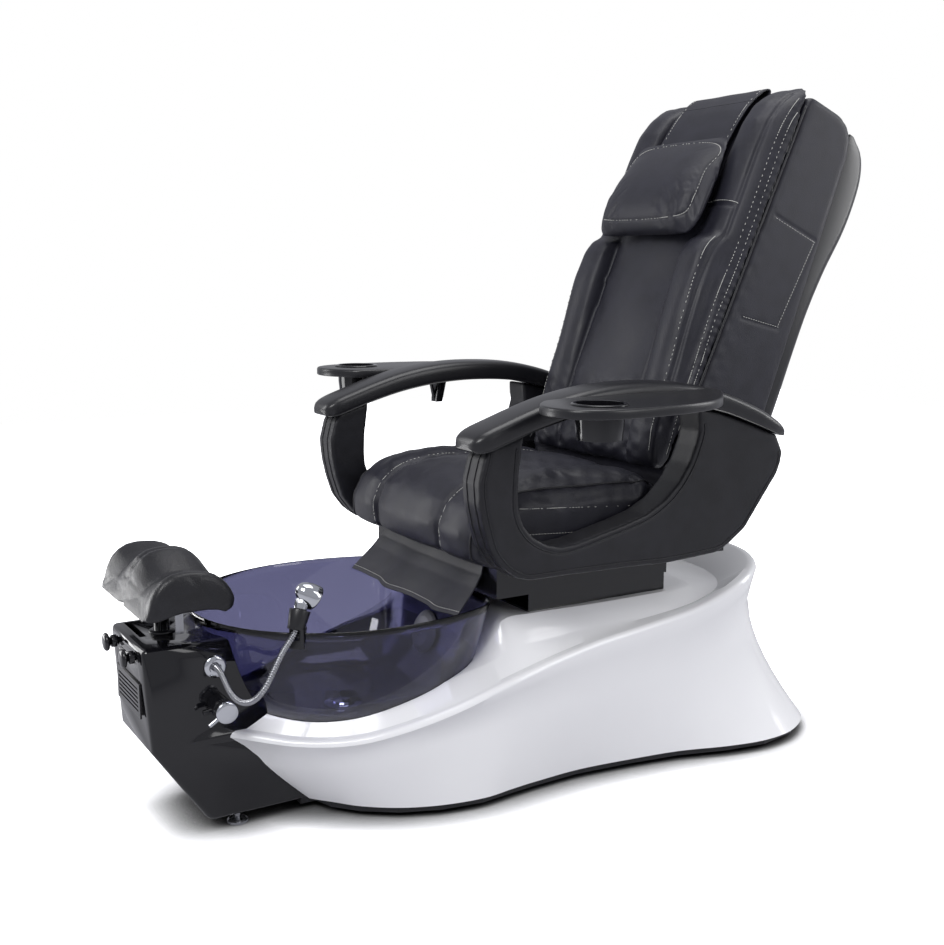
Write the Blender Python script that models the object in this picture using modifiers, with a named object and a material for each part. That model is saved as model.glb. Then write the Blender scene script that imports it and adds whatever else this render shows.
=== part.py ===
"""Pedicure spa chair: moulded base with a clear foot basin, service console with footrest,
taps and hand spray, and a leather massage chair on rails.

Metres, +Z up. The floor is z = 0, the footrest is towards -Y, the sitter's left is +X.
The origin is on the floor under the middle of the whole chair.
"""

import math

import bmesh
import bpy
import numpy as np
from mathutils import Matrix, Vector

# ---------------------------------------------------------------- driving dimensions
CLEARANCE = 0.0005          # between pieces that rest on or pass each other
SLIDE_FIT = 0.0004          # round rods and pins in their bores, on the radius
MIDDLE_Y = 0.047            # middle of the chair's length; everything is moved back by it

# base
SHELL_WALL = 0.005          # moulded glass fibre
SHELL_FOOT_Z = 0.022        # lower edge of the white shell above the floor
PLATEAU_Z = 0.340           # flat island that carries the rail box
FOOT_DISC_RADIUS = 0.019    # levelling feet
FOOT_DISC_HEIGHT = 0.008
FOOT_STEM_RADIUS = 0.005
PAN_THICKNESS = 0.012       # black base pan inside the shell

# console
CONSOLE_HALF_WIDTH = 0.100
CONSOLE_WALL = 0.005
CONSOLE_TOP_Z = 0.352
CONSOLE_FRONT_Y = -0.715
CONSOLE_ROUND = 0.010       # rounded outer edges
POST_Y = -0.650             # footrest post
POST_RADIUS = 0.014
POST_TRAVEL = 0.080
KNOB_X = 0.055
KNOB_Z = 0.331
KNOB_FRONT_Y = -0.741
KNOB_DISC_RADIUS = 0.0165
KNOB_STEM_RADIUS = 0.0055
KNOB_TRAVEL = 0.008
DRAIN_KNOB_TRAVEL = 0.020
GRILLE_HALF_WIDTH = 0.070
GRILLE_LOW_Z = 0.223
GRILLE_HIGH_Z = 0.285
HOSE_Y, HOSE_Z = -0.589, 0.305      # hose flange on the console's side
HOSE_RADIUS = 0.0055
MIXER_Y, MIXER_Z = -0.588, 0.237    # mixing valve on the console's side
MIXER_BODY_RADIUS = 0.0185
MIXER_DISC_RADIUS = 0.0200

# basin
BASIN_CENTRE_Y = -0.300
BASIN_HALF_WIDTH = 0.265
BASIN_FRONT = 0.288         # rim from the centre to the front
BASIN_REAR_AXIS = 0.350     # rear half axis before the flat wall cuts it
BASIN_FLAT_WALL = 0.218     # centre to the flat rear wall, at the rim
BASIN_RIM_Z = 0.377
BASIN_FLOOR_Z = 0.150
BASIN_WALL = 0.005
DRAIN_RADIUS = 0.032
JET_X, JET_AXIS_Y, JET_Z = -0.015, -0.107, 0.262
JET_RADIUS = 0.044
JET_HOLE_RADIUS = 0.026

# rails and seat
RAIL_HALF_WIDTH = 0.200
RAIL_LOW_Z = PLATEAU_Z + CLEARANCE
RAIL_HIGH_Z = 0.382
RAIL_FRONT_Y, RAIL_REAR_Y = -0.003, 0.328
RAIL_WALL = 0.003
SEAT_SLIDE_BACK = 0.030
SEAT_SLIDE_FORWARD = -0.080
SEAT_FRAME_TOP_Z = 0.446
SEAT_FRAME_LOW_Z = 0.388
SEAT_REAR_Y = 0.285

# backrest
BACK_PIVOT_Y, BACK_PIVOT_Z = 0.345, 0.475
BACK_TILT = math.radians(21.5)      # from vertical at rest
BACK_HALF_WIDTH = 0.245
RECLINE_LEVER = 0.055               # pivot to the actuator's pin

# armrests
ARM_WIDTH = 0.088
ARM_INNER_X = BACK_HALF_WIDTH + 0.012
ARM_OUTER_X = ARM_INNER_X + ARM_WIDTH
PANEL_INNER_X, PANEL_OUTER_X = ARM_INNER_X + 0.013, ARM_OUTER_X - 0.010
ARM_PIN_REACH = 0.030               # pin into the side panel
SEAT_HALF_WIDTH = ARM_INNER_X - 0.002
SIDE_PLATE_INNER_X = BACK_HALF_WIDTH + 0.003
SIDE_PLATE_OUTER_X = SIDE_PLATE_INNER_X + 0.012
BACK_FRAME_HALF_WIDTH = BACK_HALF_WIDTH - 0.008
ARM_PIVOT_Y, ARM_PIVOT_Z = 0.400, 0.560
ARM_PIN_RADIUS = 0.012
TRAY_TOP_Z = 0.765
TRAY_INNER_X = ARM_OUTER_X + CLEARANCE
TRAY_THICKNESS = 0.017
CUP_X, CUP_Y = ARM_OUTER_X + 0.118, -0.040
CUP_RADIUS = 0.042
CUP_RING_RADIUS = 0.0485
CUP_DEPTH = 0.058

# ---------------------------------------------------------------- guide outlines
# White shell: one row for each station round the right-hand half, front to rear. Columns:
# foot (x, y), crease (x, y, z), shoulder (x, y, z), groove (x, y, z), plateau edge (x, y, z),
# middle (y, z)
SHELL_STATIONS = [
    (0.000, -0.470, 0.000, -0.600, 0.125, 0.000, -0.655,
     0.183, 0.000, -0.600, 0.190, 0.000, -0.500, 0.210, -0.450, 0.210),
    (0.060, -0.445, 0.058, -0.565, 0.125, 0.058, -0.612,
     0.183, 0.050, -0.565, 0.196, 0.040, -0.480, 0.210, -0.440, 0.210),
    (0.102, -0.418, 0.104, -0.512, 0.125, 0.106, -0.560,
     0.181, 0.085, -0.515, 0.202, 0.060, -0.460, 0.210, -0.420, 0.210),
    (0.138, -0.388, 0.163, -0.446, 0.125, 0.175, -0.472,
     0.170, 0.135, -0.440, 0.207, 0.090, -0.410, 0.210, -0.390, 0.210),
    (0.182, -0.350, 0.213, -0.375, 0.138, 0.226, -0.385,
     0.172, 0.180, -0.370, 0.213, 0.120, -0.360, 0.215, -0.350, 0.215),
    (0.224, -0.292, 0.250, -0.297, 0.158, 0.261, -0.300,
     0.190, 0.208, -0.300, 0.222, 0.140, -0.300, 0.222, -0.300, 0.222),
    (0.253, -0.220, 0.261, -0.205, 0.174, 0.279, -0.200,
     0.215, 0.218, -0.205, 0.240, 0.150, -0.210, 0.240, -0.220, 0.240),
    (0.266, -0.140, 0.268, -0.110, 0.186, 0.284, -0.110,
     0.241, 0.232, -0.115, 0.264, 0.190, -0.115, 0.272, -0.115, 0.272),
    (0.259, -0.075, 0.269, -0.055, 0.193, 0.285, -0.050,
     0.256, 0.240, -0.058, 0.284, 0.199, -0.062, 0.332, -0.062, 0.334),
    (0.254, -0.020, 0.270, 0.000, 0.200, 0.285, 0.010,
     0.270, 0.245, 0.005, 0.289, 0.208, 0.000, 0.340, 0.000, 0.340),
    (0.250, 0.086, 0.271, 0.095, 0.209, 0.285, 0.105,
     0.288, 0.249, 0.105, 0.297, 0.214, 0.105, 0.340, 0.105, 0.340),
    (0.262, 0.200, 0.272, 0.205, 0.221, 0.285, 0.225,
     0.302, 0.251, 0.225, 0.304, 0.216, 0.225, 0.340, 0.225, 0.340),
    (0.280, 0.313, 0.272, 0.315, 0.232, 0.285, 0.340,
     0.317, 0.250, 0.335, 0.314, 0.214, 0.330, 0.340, 0.330, 0.340),
    (0.312, 0.418, 0.266, 0.415, 0.255, 0.279, 0.430,
     0.337, 0.238, 0.405, 0.322, 0.202, 0.385, 0.340, 0.385, 0.340),
    (0.327, 0.510, 0.248, 0.490, 0.280, 0.260, 0.505,
     0.358, 0.214, 0.458, 0.328, 0.175, 0.405, 0.340, 0.397, 0.340),
    (0.312, 0.600, 0.212, 0.550, 0.292, 0.222, 0.562,
     0.372, 0.168, 0.500, 0.331, 0.125, 0.413, 0.340, 0.404, 0.340),
    (0.252, 0.682, 0.142, 0.598, 0.297, 0.148, 0.610,
     0.376, 0.110, 0.527, 0.332, 0.078, 0.420, 0.340, 0.409, 0.340),
    (0.135, 0.728, 0.070, 0.618, 0.298, 0.073, 0.630,
     0.377, 0.055, 0.540, 0.332, 0.038, 0.424, 0.340, 0.413, 0.340),
    (0.000, 0.740, 0.000, 0.624, 0.298, 0.000, 0.636,
     0.377, 0.000, 0.545, 0.332, 0.000, 0.426, 0.340, 0.415, 0.340),
]
LIP_ROUND = 0.011           # radius of the lip's rolled edge
LIP_WIDTH = 0.030
FLARE_SPAN = (-0.320, -0.150)  # over these y values the skirt changes from straight to bent
FLARE_BEND = (1.15, 1.6)

# Console side outline (y, z), before the basin is cut out of it
CONSOLE_OUTLINE = [
    (CONSOLE_FRONT_Y, CONSOLE_TOP_Z), (-0.704, 0.166), (-0.608, 0.023), (-0.360, 0.023),
    (-0.360, 0.200), (-0.440, CONSOLE_TOP_Z),
]

# Basin wall: how far from the drain's edge (0) to the rim (1), and the height
BASIN_PROFILE = [
    (0.00, 0.150), (0.20, 0.152), (0.42, 0.160), (0.60, 0.176), (0.73, 0.203),
    (0.82, 0.235), (0.88, 0.270), (0.93, 0.310), (0.965, 0.345), (1.00, BASIN_RIM_Z),
]

# Footrest pad: closed outline (y, z) of its end, front to rear over the top
PAD_OUTLINE = [
    (-0.722, 0.410), (-0.714, 0.431), (-0.708, 0.452), (-0.696, 0.468), (-0.680, 0.479),
    (-0.662, 0.485), (-0.638, 0.485), (-0.611, 0.481), (-0.587, 0.470), (-0.569, 0.453),
    (-0.559, 0.435), (-0.560, 0.422), (-0.568, 0.412), (-0.580, 0.409), (-0.592, 0.417),
    (-0.641, 0.418), (-0.668, 0.417), (-0.686, 0.411), (-0.704, 0.407),
]
PAD_HALF_WIDTH = 0.150

# Seat cushion: closed outline (y, z), from the rear over the top and the front roll
SEAT_OUTLINE = [
    (SEAT_REAR_Y, 0.560), (0.240, 0.592), (0.180, 0.600), (0.110, 0.601), (0.040, 0.603),
    (-0.020, 0.605), (-0.070, 0.600), (-0.110, 0.588), (-0.143, 0.565), (-0.163, 0.535),
    (-0.169, 0.500), (-0.162, 0.468), (-0.140, 0.4485), (-0.100, 0.4475), (0.060, 0.4475),
    (0.200, 0.4475), (0.270, 0.4480), (SEAT_REAR_Y, 0.4700),
]
SEAT_SEAM_X = 0.125         # channels between the middle panel and the bolsters

# Armrest: middle line (y, z, half thickness) of the moulded top, front to rear
ARM_LINE = [
    (-0.206, 0.690, 0.008), (-0.197, 0.693, 0.015), (-0.176, 0.700, 0.0185),
    (-0.140, 0.712, 0.0190), (-0.090, 0.728, 0.0195), (-0.020, 0.746, 0.0205),
    (0.060, 0.758, 0.0210), (0.150, 0.762, 0.0210), (0.250, 0.756, 0.0210),
    (0.340, 0.738, 0.0205), (0.420, 0.710, 0.0195), (0.474, 0.687, 0.0170),
    (0.505, 0.673, 0.0130), (0.520, 0.666, 0.0080),
]
# Side panel below it: outer edge from the front post's top, down, along and up to the rear
PANEL_OUTER = [
    (-0.174, 0.000), (-0.184, 0.664), (-0.194, 0.625), (-0.191, 0.585), (-0.182, 0.544),
    (-0.168, 0.502), (-0.144, 0.470), (-0.115, 0.450), (-0.086, 0.442), (0.013, 0.441),
    (0.118, 0.439), (0.214, 0.435), (0.285, 0.437), (0.349, 0.441), (0.378, 0.454),
    (0.419, 0.481), (0.459, 0.532), (0.500, 0.584), (0.510, 0.608), (0.512, 0.628),
    (0.494, 0.000),
]
# and the edge of its loop, from the rear down, along and up to the front post
PANEL_LOOP = [
    (0.291, 0.000), (0.295, 0.681), (0.287, 0.656), (0.272, 0.622), (0.245, 0.585),
    (0.212, 0.557), (0.169, 0.535), (0.116, 0.521), (0.064, 0.510), (0.012, 0.499),
    (-0.023, 0.496), (-0.053, 0.504), (-0.082, 0.520), (-0.102, 0.543), (-0.112, 0.569),
    (-0.114, 0.597), (-0.112, 0.638), (-0.103, 0.000),
]
# Tray plan (x, y) on the left-hand side
TRAY_OUTLINE = [             # (outwards from its inner edge, y)
    (0.0000, -0.016), (0.0120, -0.074), (0.0325, -0.101), (0.0645, -0.124), (0.0945, -0.133),
    (0.1245, -0.132), (0.1545, -0.120), (0.1785, -0.091), (0.1905, -0.047), (0.1915, 0.010),
    (0.1885, 0.060), (0.1805, 0.110), (0.1625, 0.168), (0.1345, 0.212), (0.0945, 0.252),
    (0.0545, 0.287), (0.0245, 0.308), (0.0065, 0.308), (0.0000, 0.292),
]

# Backrest, in its own frame: u up along the back, w towards its rear, from the pivot
BACK_BODY_LOW, BACK_BODY_HIGH = 0.040, 0.905
BACK_BODY_REAR = 0.112
BACK_SHELL_LOW, BACK_SHELL_HIGH = 0.140, 0.890
BACK_SHELL_DEPTHS = [       # (u, w) of the rear shell's outside
    (0.140, 0.135), (0.160, 0.155), (0.205, 0.166), (0.305, 0.171), (0.430, 0.172), (0.520, 0.175),
    (0.610, 0.185), (0.700, 0.202), (0.765, 0.207), (0.820, 0.204), (0.860, 0.190), (0.881, 0.168),
    (0.890, 0.140),
]
BACK_SHELL_HALF_WIDTH = 0.226
BACK_PAD_SHAPE = [          # u, share of the width, how far the middle, wings and bolsters stand out
    (0.085, 0.90, 0.093, 0.094, 0.092), (0.096, 0.955, 0.112, 0.114, 0.095),
    (0.115, 0.985, 0.124, 0.128, 0.098), (0.160, 1.0, 0.130, 0.136, 0.100),
    (0.260, 1.0, 0.134, 0.143, 0.100), (0.380, 1.0, 0.132, 0.150, 0.098),
    (0.470, 1.0, 0.130, 0.155, 0.097), (0.530, 1.0, 0.129, 0.153, 0.097),
    (0.560, 1.0, 0.127, 0.141, 0.097), (0.580, 1.0, 0.125, 0.119, 0.096),
    (0.680, 1.0, 0.113, 0.115, 0.095), (0.760, 1.0, 0.098, 0.112, 0.092),
    (0.830, 0.998, 0.083, 0.105, 0.086), (0.875, 0.985, 0.068, 0.089, 0.074),
    (0.902, 0.965, 0.055, 0.068, 0.060), (0.918, 0.935, 0.045, 0.050, 0.048),
    (0.926, 0.90, 0.038, 0.040, 0.039),
]
BACK_CAVITY_HALF_WIDTH = 0.190
BACK_SEAM_X = 0.120         # channels between middle panel and bolsters
PILLOW_HALF_WIDTH = 0.166
PILLOW_SHAPE = [            # u, share of the width, rear and front face towards the sitter
    (0.562, 0.80, 0.150, 0.155), (0.568, 0.88, 0.142, 0.170), (0.582, 0.945, 0.1375, 0.184),
    (0.608, 0.99, 0.1340, 0.191), (0.645, 1.0, 0.1310, 0.188), (0.690, 0.98, 0.1265, 0.174),
    (0.735, 0.935, 0.1225, 0.155), (0.768, 0.895, 0.1200, 0.138), (0.784, 0.87, 0.1195, 0.127),
    (0.789, 0.84, 0.1205, 0.1225),
]
FLAP_ROUTE = [              # (u, towards the front) of the flap's middle surface, pillow to hinge
    (0.640, 0.1292), (0.660, 0.1272), (0.690, 0.1200), (0.720, 0.1120), (0.760, 0.1030),
    (0.800, 0.0945), (0.840, 0.0855), (0.870, 0.0765), (0.8930, 0.0670),
]
STRAP_ROUTE = [             # the same for the strap, from the hinge over the top
    (0.8935, 0.0668), (0.9150, 0.0545), (0.9285, 0.0440), (0.9330, 0.0345), (0.9300, 0.0300),
    (0.9180, 0.0285), (0.9100, 0.0235), (0.9073, 0.0140), (0.9073, -0.0300),
]
STRAP_HALF_WIDTH = 0.112
STRAP_THICKNESS = 0.0036

# Spray hose: its route from the flange on the console to the hand spray
HOSE_ROUTE = [
    (0.0960, -0.5890, 0.3050), (0.1065, -0.5890, 0.3050), (0.1227, -0.5890, 0.3034),
    (0.1382, -0.5887, 0.2969),
    (0.1522, -0.5881, 0.2876), (0.1663, -0.5866, 0.2785), (0.1813, -0.5835, 0.2715),
    (0.1971, -0.5785, 0.2687), (0.2124, -0.5721, 0.2713), (0.2253, -0.5650, 0.2794),
    (0.2339, -0.5569, 0.2912), (0.2369, -0.5478, 0.3050), (0.2350, -0.5384, 0.3188),
    (0.2309, -0.5288, 0.3320), (0.2259, -0.5188, 0.3446), (0.2211, -0.5079, 0.3566),
    (0.2176, -0.4962, 0.3682), (0.2147, -0.4858, 0.3811), (0.2115, -0.4800, 0.3965),
]
HOSE_RIBS = 25
HOSE_RIB_DEPTH = 0.0007
HOSE_BORE_RADIUS = 0.0032

# ---------------------------------------------------------------- finishes
FINISH_SETTINGS = {         # sRGB colour, roughness, metallic, transmission
    "white_gelcoat": ("E6E6EC", 0.12, 0.0, 0.0),
    "black_gloss": ("1E1E22", 0.10, 0.0, 0.0),
    "black_satin": ("232327", 0.45, 0.0, 0.0),
    "black_steel": ("17171A", 0.35, 0.6, 0.0),
    "steel": ("A8A8AC", 0.30, 1.0, 0.0),
    "chrome": ("D8D8DC", 0.06, 1.0, 0.0),
    "tinted_clear": ("6E70A0", 0.03, 0.0, 0.8),
    "leather": ("3B3B43", 0.50, 0.0, 0.0),
    "panel_vinyl": ("333236", 0.45, 0.0, 0.0),
    "moulded_foam": ("2E2E33", 0.48, 0.0, 0.0),
    "grey_plastic": ("6A6A70", 0.50, 0.0, 0.0),
    "rubber": ("18181A", 0.75, 0.0, 0.0),
}


def linear(channel):
    """One sRGB channel, 0 to 1, as linear light."""
    return channel / 12.92 if channel <= 0.04045 else ((channel + 0.055) / 1.055) ** 2.4


def make_finish(name, colour, roughness, metallic, transmission):
    finish = bpy.data.materials.new(name)
    finish.use_nodes = True
    shader = finish.node_tree.nodes["Principled BSDF"]
    channels = [linear(int(colour[i:i + 2], 16) / 255) for i in (0, 2, 4)]
    shader.inputs["Base Color"].default_value = (*channels, 1.0)
    shader.inputs["Roughness"].default_value = roughness
    shader.inputs["Metallic"].default_value = metallic
    shader.inputs["Transmission Weight"].default_value = transmission
    return finish


# ---------------------------------------------------------------- scene, bodies, helpers
for old in list(bpy.data.objects):
    bpy.data.objects.remove(old, do_unlink=True)

FINISHES = {name: make_finish(name, *values) for name, values in FINISH_SETTINGS.items()}
CHAIR = bpy.data.collections.new("pedicure_spa_chair")
CUTTERS = bpy.data.collections.new("cutters")
bpy.context.scene.collection.children.link(CHAIR)
bpy.context.scene.collection.children.link(CUTTERS)


def back_point(u, w, x=0.0):
    """A point of the backrest's own frame (u up along it, w to its rear) in world space."""
    sine, cosine = math.sin(BACK_TILT), math.cos(BACK_TILT)
    return (x, BACK_PIVOT_Y + u * sine + w * cosine, BACK_PIVOT_Z + u * cosine - w * sine)


BACK_UP = Vector((0, math.sin(BACK_TILT), math.cos(BACK_TILT)))
BACK_REARWARD = Vector((0, math.cos(BACK_TILT), -math.sin(BACK_TILT)))

# Where each moving body's joint lies; its empty carries the body's pieces
FOOTREST_HINGE_Z = 0.400
CARRIAGE_U = 0.450
ROLLER_AXIS_F = 0.022       # roller shaft in front of the back's middle plane
TRAY_HINGE_X = ARM_OUTER_X + 0.0010
PIVOTS = {
    "base": (0, 0, 0),
    "footrest_column": (0, POST_Y, CONSOLE_TOP_Z),
    "footrest": (0, POST_Y, FOOTREST_HINGE_Z),
    "height_knob": (KNOB_X, KNOB_FRONT_Y, KNOB_Z),
    "drain_knob": (-KNOB_X, KNOB_FRONT_Y, KNOB_Z),
    "stopper": (0, BASIN_CENTRE_Y, BASIN_FLOOR_Z),
    "mixer_control": (CONSOLE_HALF_WIDTH, MIXER_Y, MIXER_Z),
    "impeller": (JET_X, JET_AXIS_Y, JET_Z),
    "hand_spray": HOSE_ROUTE[-1],
    "seat": (0, 0, SEAT_FRAME_LOW_Z),
    "back": (0, BACK_PIVOT_Y, BACK_PIVOT_Z),
    "recline_rod": (0, BACK_PIVOT_Y, BACK_PIVOT_Z - RECLINE_LEVER),
    "carriage": back_point(CARRIAGE_U, 0.0),
    "rollers": back_point(CARRIAGE_U, -ROLLER_AXIS_F),
    "pillow": back_point(0.8939, -0.0686),
    "left_arm": (ARM_INNER_X, ARM_PIVOT_Y, ARM_PIVOT_Z),
    "right_arm": (-ARM_INNER_X, ARM_PIVOT_Y, ARM_PIVOT_Z),
    "left_tray": (TRAY_HINGE_X, 0.100, TRAY_TOP_Z),
    "right_tray": (-TRAY_HINGE_X, 0.100, TRAY_TOP_Z),
}
ORIGIN = bpy.data.objects.new("pedicure_spa_chair", None)
ORIGIN.location = (0, -MIDDLE_Y, 0)
CHAIR.objects.link(ORIGIN)
BODIES = {}
for body_name, place in PIVOTS.items():
    empty = bpy.data.objects.new(body_name + "_joint", None)
    empty.location = place
    empty.parent = ORIGIN
    CHAIR.objects.link(empty)
    BODIES[body_name] = empty


def register(obj, finish, body):
    """Puts a finished object in the chair, or among the cutters if it has no body."""
    if body is None:
        CUTTERS.objects.link(obj)
        obj.parent = ORIGIN
        obj.hide_render = True
        obj.display_type = "WIRE"
        return obj
    CHAIR.objects.link(obj)
    obj.data.materials.append(FINISHES[finish])
    obj.parent = BODIES[body]
    obj.matrix_parent_inverse = Matrix.Translation(Vector(PIVOTS[body])).inverted()
    return obj


def mesh_object(name, bm, finish=None, body=None):
    """An object of a bmesh, with its faces pointing out and its round parts smooth."""
    bmesh.ops.recalc_face_normals(bm, faces=bm.faces)
    if bm.calc_volume(signed=True) < 0:
        bmesh.ops.reverse_faces(bm, faces=bm.faces)
    mesh = bpy.data.meshes.new(name)
    bm.to_mesh(mesh)
    bm.free()
    mesh.shade_smooth()
    mesh.set_sharp_from_angle(angle=math.radians(35))
    return register(bpy.data.objects.new(name, mesh), finish, body)


def bevel(obj, width, segments=2, angle=35):
    """Rounds the object's sharp edges."""
    rounding = obj.modifiers.new("rounding", "BEVEL")
    rounding.width = width
    rounding.segments = segments
    rounding.limit_method = "ANGLE"
    rounding.angle_limit = math.radians(angle)
    return obj


def boolean(obj, operation, *others):
    for other in others:
        step = obj.modifiers.new(other.name, "BOOLEAN")
        step.operation = operation
        step.solver = "EXACT"
        step.object = other
    return obj


def cut(obj, *others):
    return boolean(obj, "DIFFERENCE", *others)


def join(obj, *others):
    return boolean(obj, "UNION", *others)


def box(name, low, high, finish=None, body=None, rounding=0.0, segments=2):
    bm = bmesh.new()
    bmesh.ops.create_cube(bm, size=1.0)
    size = Vector(high) - Vector(low)
    bmesh.ops.scale(bm, vec=size, verts=bm.verts)
    bmesh.ops.translate(bm, vec=(Vector(low) + Vector(high)) / 2, verts=bm.verts)
    obj = mesh_object(name, bm, finish, body)
    if rounding:
        bevel(obj, rounding, segments)
    return obj


def frame_along(start, direction):
    """A matrix that takes +Z to the direction and the origin to the start."""
    turn = Vector(direction).normalized().to_track_quat("Z", "Y").to_matrix().to_4x4()
    return Matrix.Translation(Vector(start)) @ turn


def cylinder(name, start, end, radius, finish=None, body=None, sides=16, end_radius=None):
    """A cylinder, or a cone, between two points."""
    start, end = Vector(start), Vector(end)
    length = (end - start).length
    bm = bmesh.new()
    bmesh.ops.create_cone(
        bm, cap_ends=True, segments=sides, radius1=radius,
        radius2=radius if end_radius is None else end_radius, depth=length,
    )
    bmesh.ops.translate(bm, vec=(0, 0, length / 2), verts=bm.verts)
    bmesh.ops.transform(bm, matrix=frame_along(start, end - start), verts=bm.verts)
    return mesh_object(name, bm, finish, body)


def turned(name, profile, start, direction, finish=None, body=None, sides=16):
    """A profile (radius, height) turned about the direction, from the top down its outside."""
    mesh = bpy.data.meshes.new(name)
    points = [(radius, 0.0, height) for radius, height in profile]
    closed = profile[0][0] > 0 and profile[-1][0] > 0
    edges = [(i, i + 1) for i in range(len(points) - 1) if profile[i][0] or profile[i + 1][0]]
    if closed:
        edges.append((len(points) - 1, 0))
    mesh.from_pydata(points, edges, [])
    obj = register(bpy.data.objects.new(name, mesh), finish, body)
    obj.matrix_basis = frame_along(start, direction)
    screw = obj.modifiers.new("turning", "SCREW")
    screw.steps = screw.render_steps = sides
    screw.use_merge_vertices = True
    screw.merge_threshold = 0.00001
    screw.use_smooth_shade = True
    return obj


def tube_curve(name, points, radius, resolution=2, radii=None):
    """A polyline tube with closed ends, as a curve object."""
    curve = bpy.data.curves.new(name, "CURVE")
    curve.dimensions = "3D"
    curve.bevel_depth = radius
    curve.bevel_resolution = resolution
    curve.use_fill_caps = True
    line = curve.splines.new("POLY")
    line.points.add(len(points) - 1)
    for index, point in enumerate(points):
        line.points[index].co = (*point, 1.0)
        line.points[index].radius = 1.0 if radii is None else radii[index]
    return bpy.data.objects.new(name, curve)


def meshed(curve_object, finish=None, body=None):
    """A curve object made a closed mesh object, with its caps welded to its sides."""
    name = curve_object.name
    bpy.context.scene.collection.objects.link(curve_object)
    bpy.context.view_layer.update()
    graph = bpy.context.evaluated_depsgraph_get()
    mesh = bpy.data.meshes.new_from_object(curve_object.evaluated_get(graph))
    mesh.transform(curve_object.matrix_world)
    bpy.data.objects.remove(curve_object)
    bm = bmesh.new()
    bm.from_mesh(mesh)
    bpy.data.meshes.remove(mesh)
    bmesh.ops.remove_doubles(bm, verts=bm.verts, dist=0.00001)
    return mesh_object(name, bm, finish, body)


def tube(name, points, radius, finish=None, body=None, resolution=2):
    return meshed(tube_curve(name, points, radius, resolution), finish, body)


AXIS_FRAMES = {             # columns: where the outline's first and second axes and its depth go
    "X": Matrix(((0, 0, 1), (1, 0, 0), (0, 1, 0))),
    "Y": Matrix(((1, 0, 0), (0, 0, -1), (0, 1, 0))),
    "Z": Matrix(((1, 0, 0), (0, 1, 0), (0, 0, 1))),
}


def plate(name, outlines, low, high, axis="Z", finish=None, body=None):
    """Flat outlines filled and given a depth along X (outline y, z), Y (x, z) or Z (x, y)."""
    curve = bpy.data.curves.new(name, "CURVE")
    curve.dimensions = "2D"
    curve.fill_mode = "BOTH"
    curve.extrude = (high - low) / 2
    for outline in outlines:
        line = curve.splines.new("POLY")
        line.points.add(len(outline) - 1)
        for index, (first, second) in enumerate(outline):
            line.points[index].co = (first, second, 0.0, 1.0)
        line.use_cyclic_u = True
    obj = bpy.data.objects.new(name, curve)
    shift = {"X": ((low + high) / 2, 0, 0), "Y": (0, (low + high) / 2, 0), "Z": (0, 0, (low + high) / 2)}
    obj.matrix_world = Matrix.Translation(shift[axis]) @ AXIS_FRAMES[axis].to_4x4()
    return meshed(obj, finish, body)


def loft(name, rings, finish=None, body=None, closed=True, caps=True):
    """A skin over rings of points, each ring an array (points, 3)."""
    rings = np.asarray(rings, float)
    count, width = rings.shape[:2]
    bm = bmesh.new()
    verts = [[bm.verts.new(point) for point in ring] for ring in rings]
    steps = width if closed else width - 1
    for i in range(count - 1):
        for j in range(steps):
            k = (j + 1) % width
            bm.faces.new((verts[i][j], verts[i][k], verts[i + 1][k], verts[i + 1][j]))
    if caps:
        bm.faces.new(verts[0])
        bm.faces.new(verts[-1])
    return mesh_object(name, bm, finish, body)


def smooth_curve(points, samples):
    """Points of a Catmull-Rom curve through the given ones, evenly spaced along its length."""
    points = np.asarray(points, float)
    padded = np.vstack([2 * points[0] - points[1], points, 2 * points[-1] - points[-2]])
    t = np.linspace(0, 1, 24, endpoint=False)[:, None]
    parts = []
    for a, b, c, d in zip(padded[:-3], padded[1:-2], padded[2:-1], padded[3:]):
        parts.append(0.5 * (2 * b + (c - a) * t + (2 * a - 5 * b + 4 * c - d) * t ** 2
                            + (3 * b - a - 3 * c + d) * t ** 3))
    dense = np.vstack([*parts, points[-1:]])
    along = np.concatenate([[0], np.cumsum(np.linalg.norm(np.diff(dense, axis=0), axis=1))])
    wanted = np.linspace(0, along[-1], samples)
    return np.stack([np.interp(wanted, along, column) for column in dense.T], axis=1)


def circle_outline(centre, radius, sides=28):
    """A round outline, for a hole or a disc."""
    angles = np.linspace(0, 2 * math.pi, sides, endpoint=False)
    return [(centre[0] + radius * math.cos(a), centre[1] + radius * math.sin(a)) for a in angles]


def mirrored(outline):
    """An (x, y) outline on the other side of the chair."""
    return [(-x, y) for x, y in reversed(outline)]


# ---------------------------------------------------------------- basin
def basin_reach(angle):
    """Distance from the basin's centre to its rim, in plan; angle 0 is +X, 90 degrees +Y."""
    cosine, sine = np.cos(angle), np.sin(angle)
    axis = np.where(sine < 0, BASIN_FRONT, BASIN_REAR_AXIS)
    curve = 1 / np.sqrt((cosine / BASIN_HALF_WIDTH) ** 2 + (sine / axis) ** 2)
    wall = BASIN_FLAT_WALL / np.maximum(sine, 0.02)
    corner = 14
    return (curve ** -corner + wall ** -corner) ** (-1 / corner)


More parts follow.
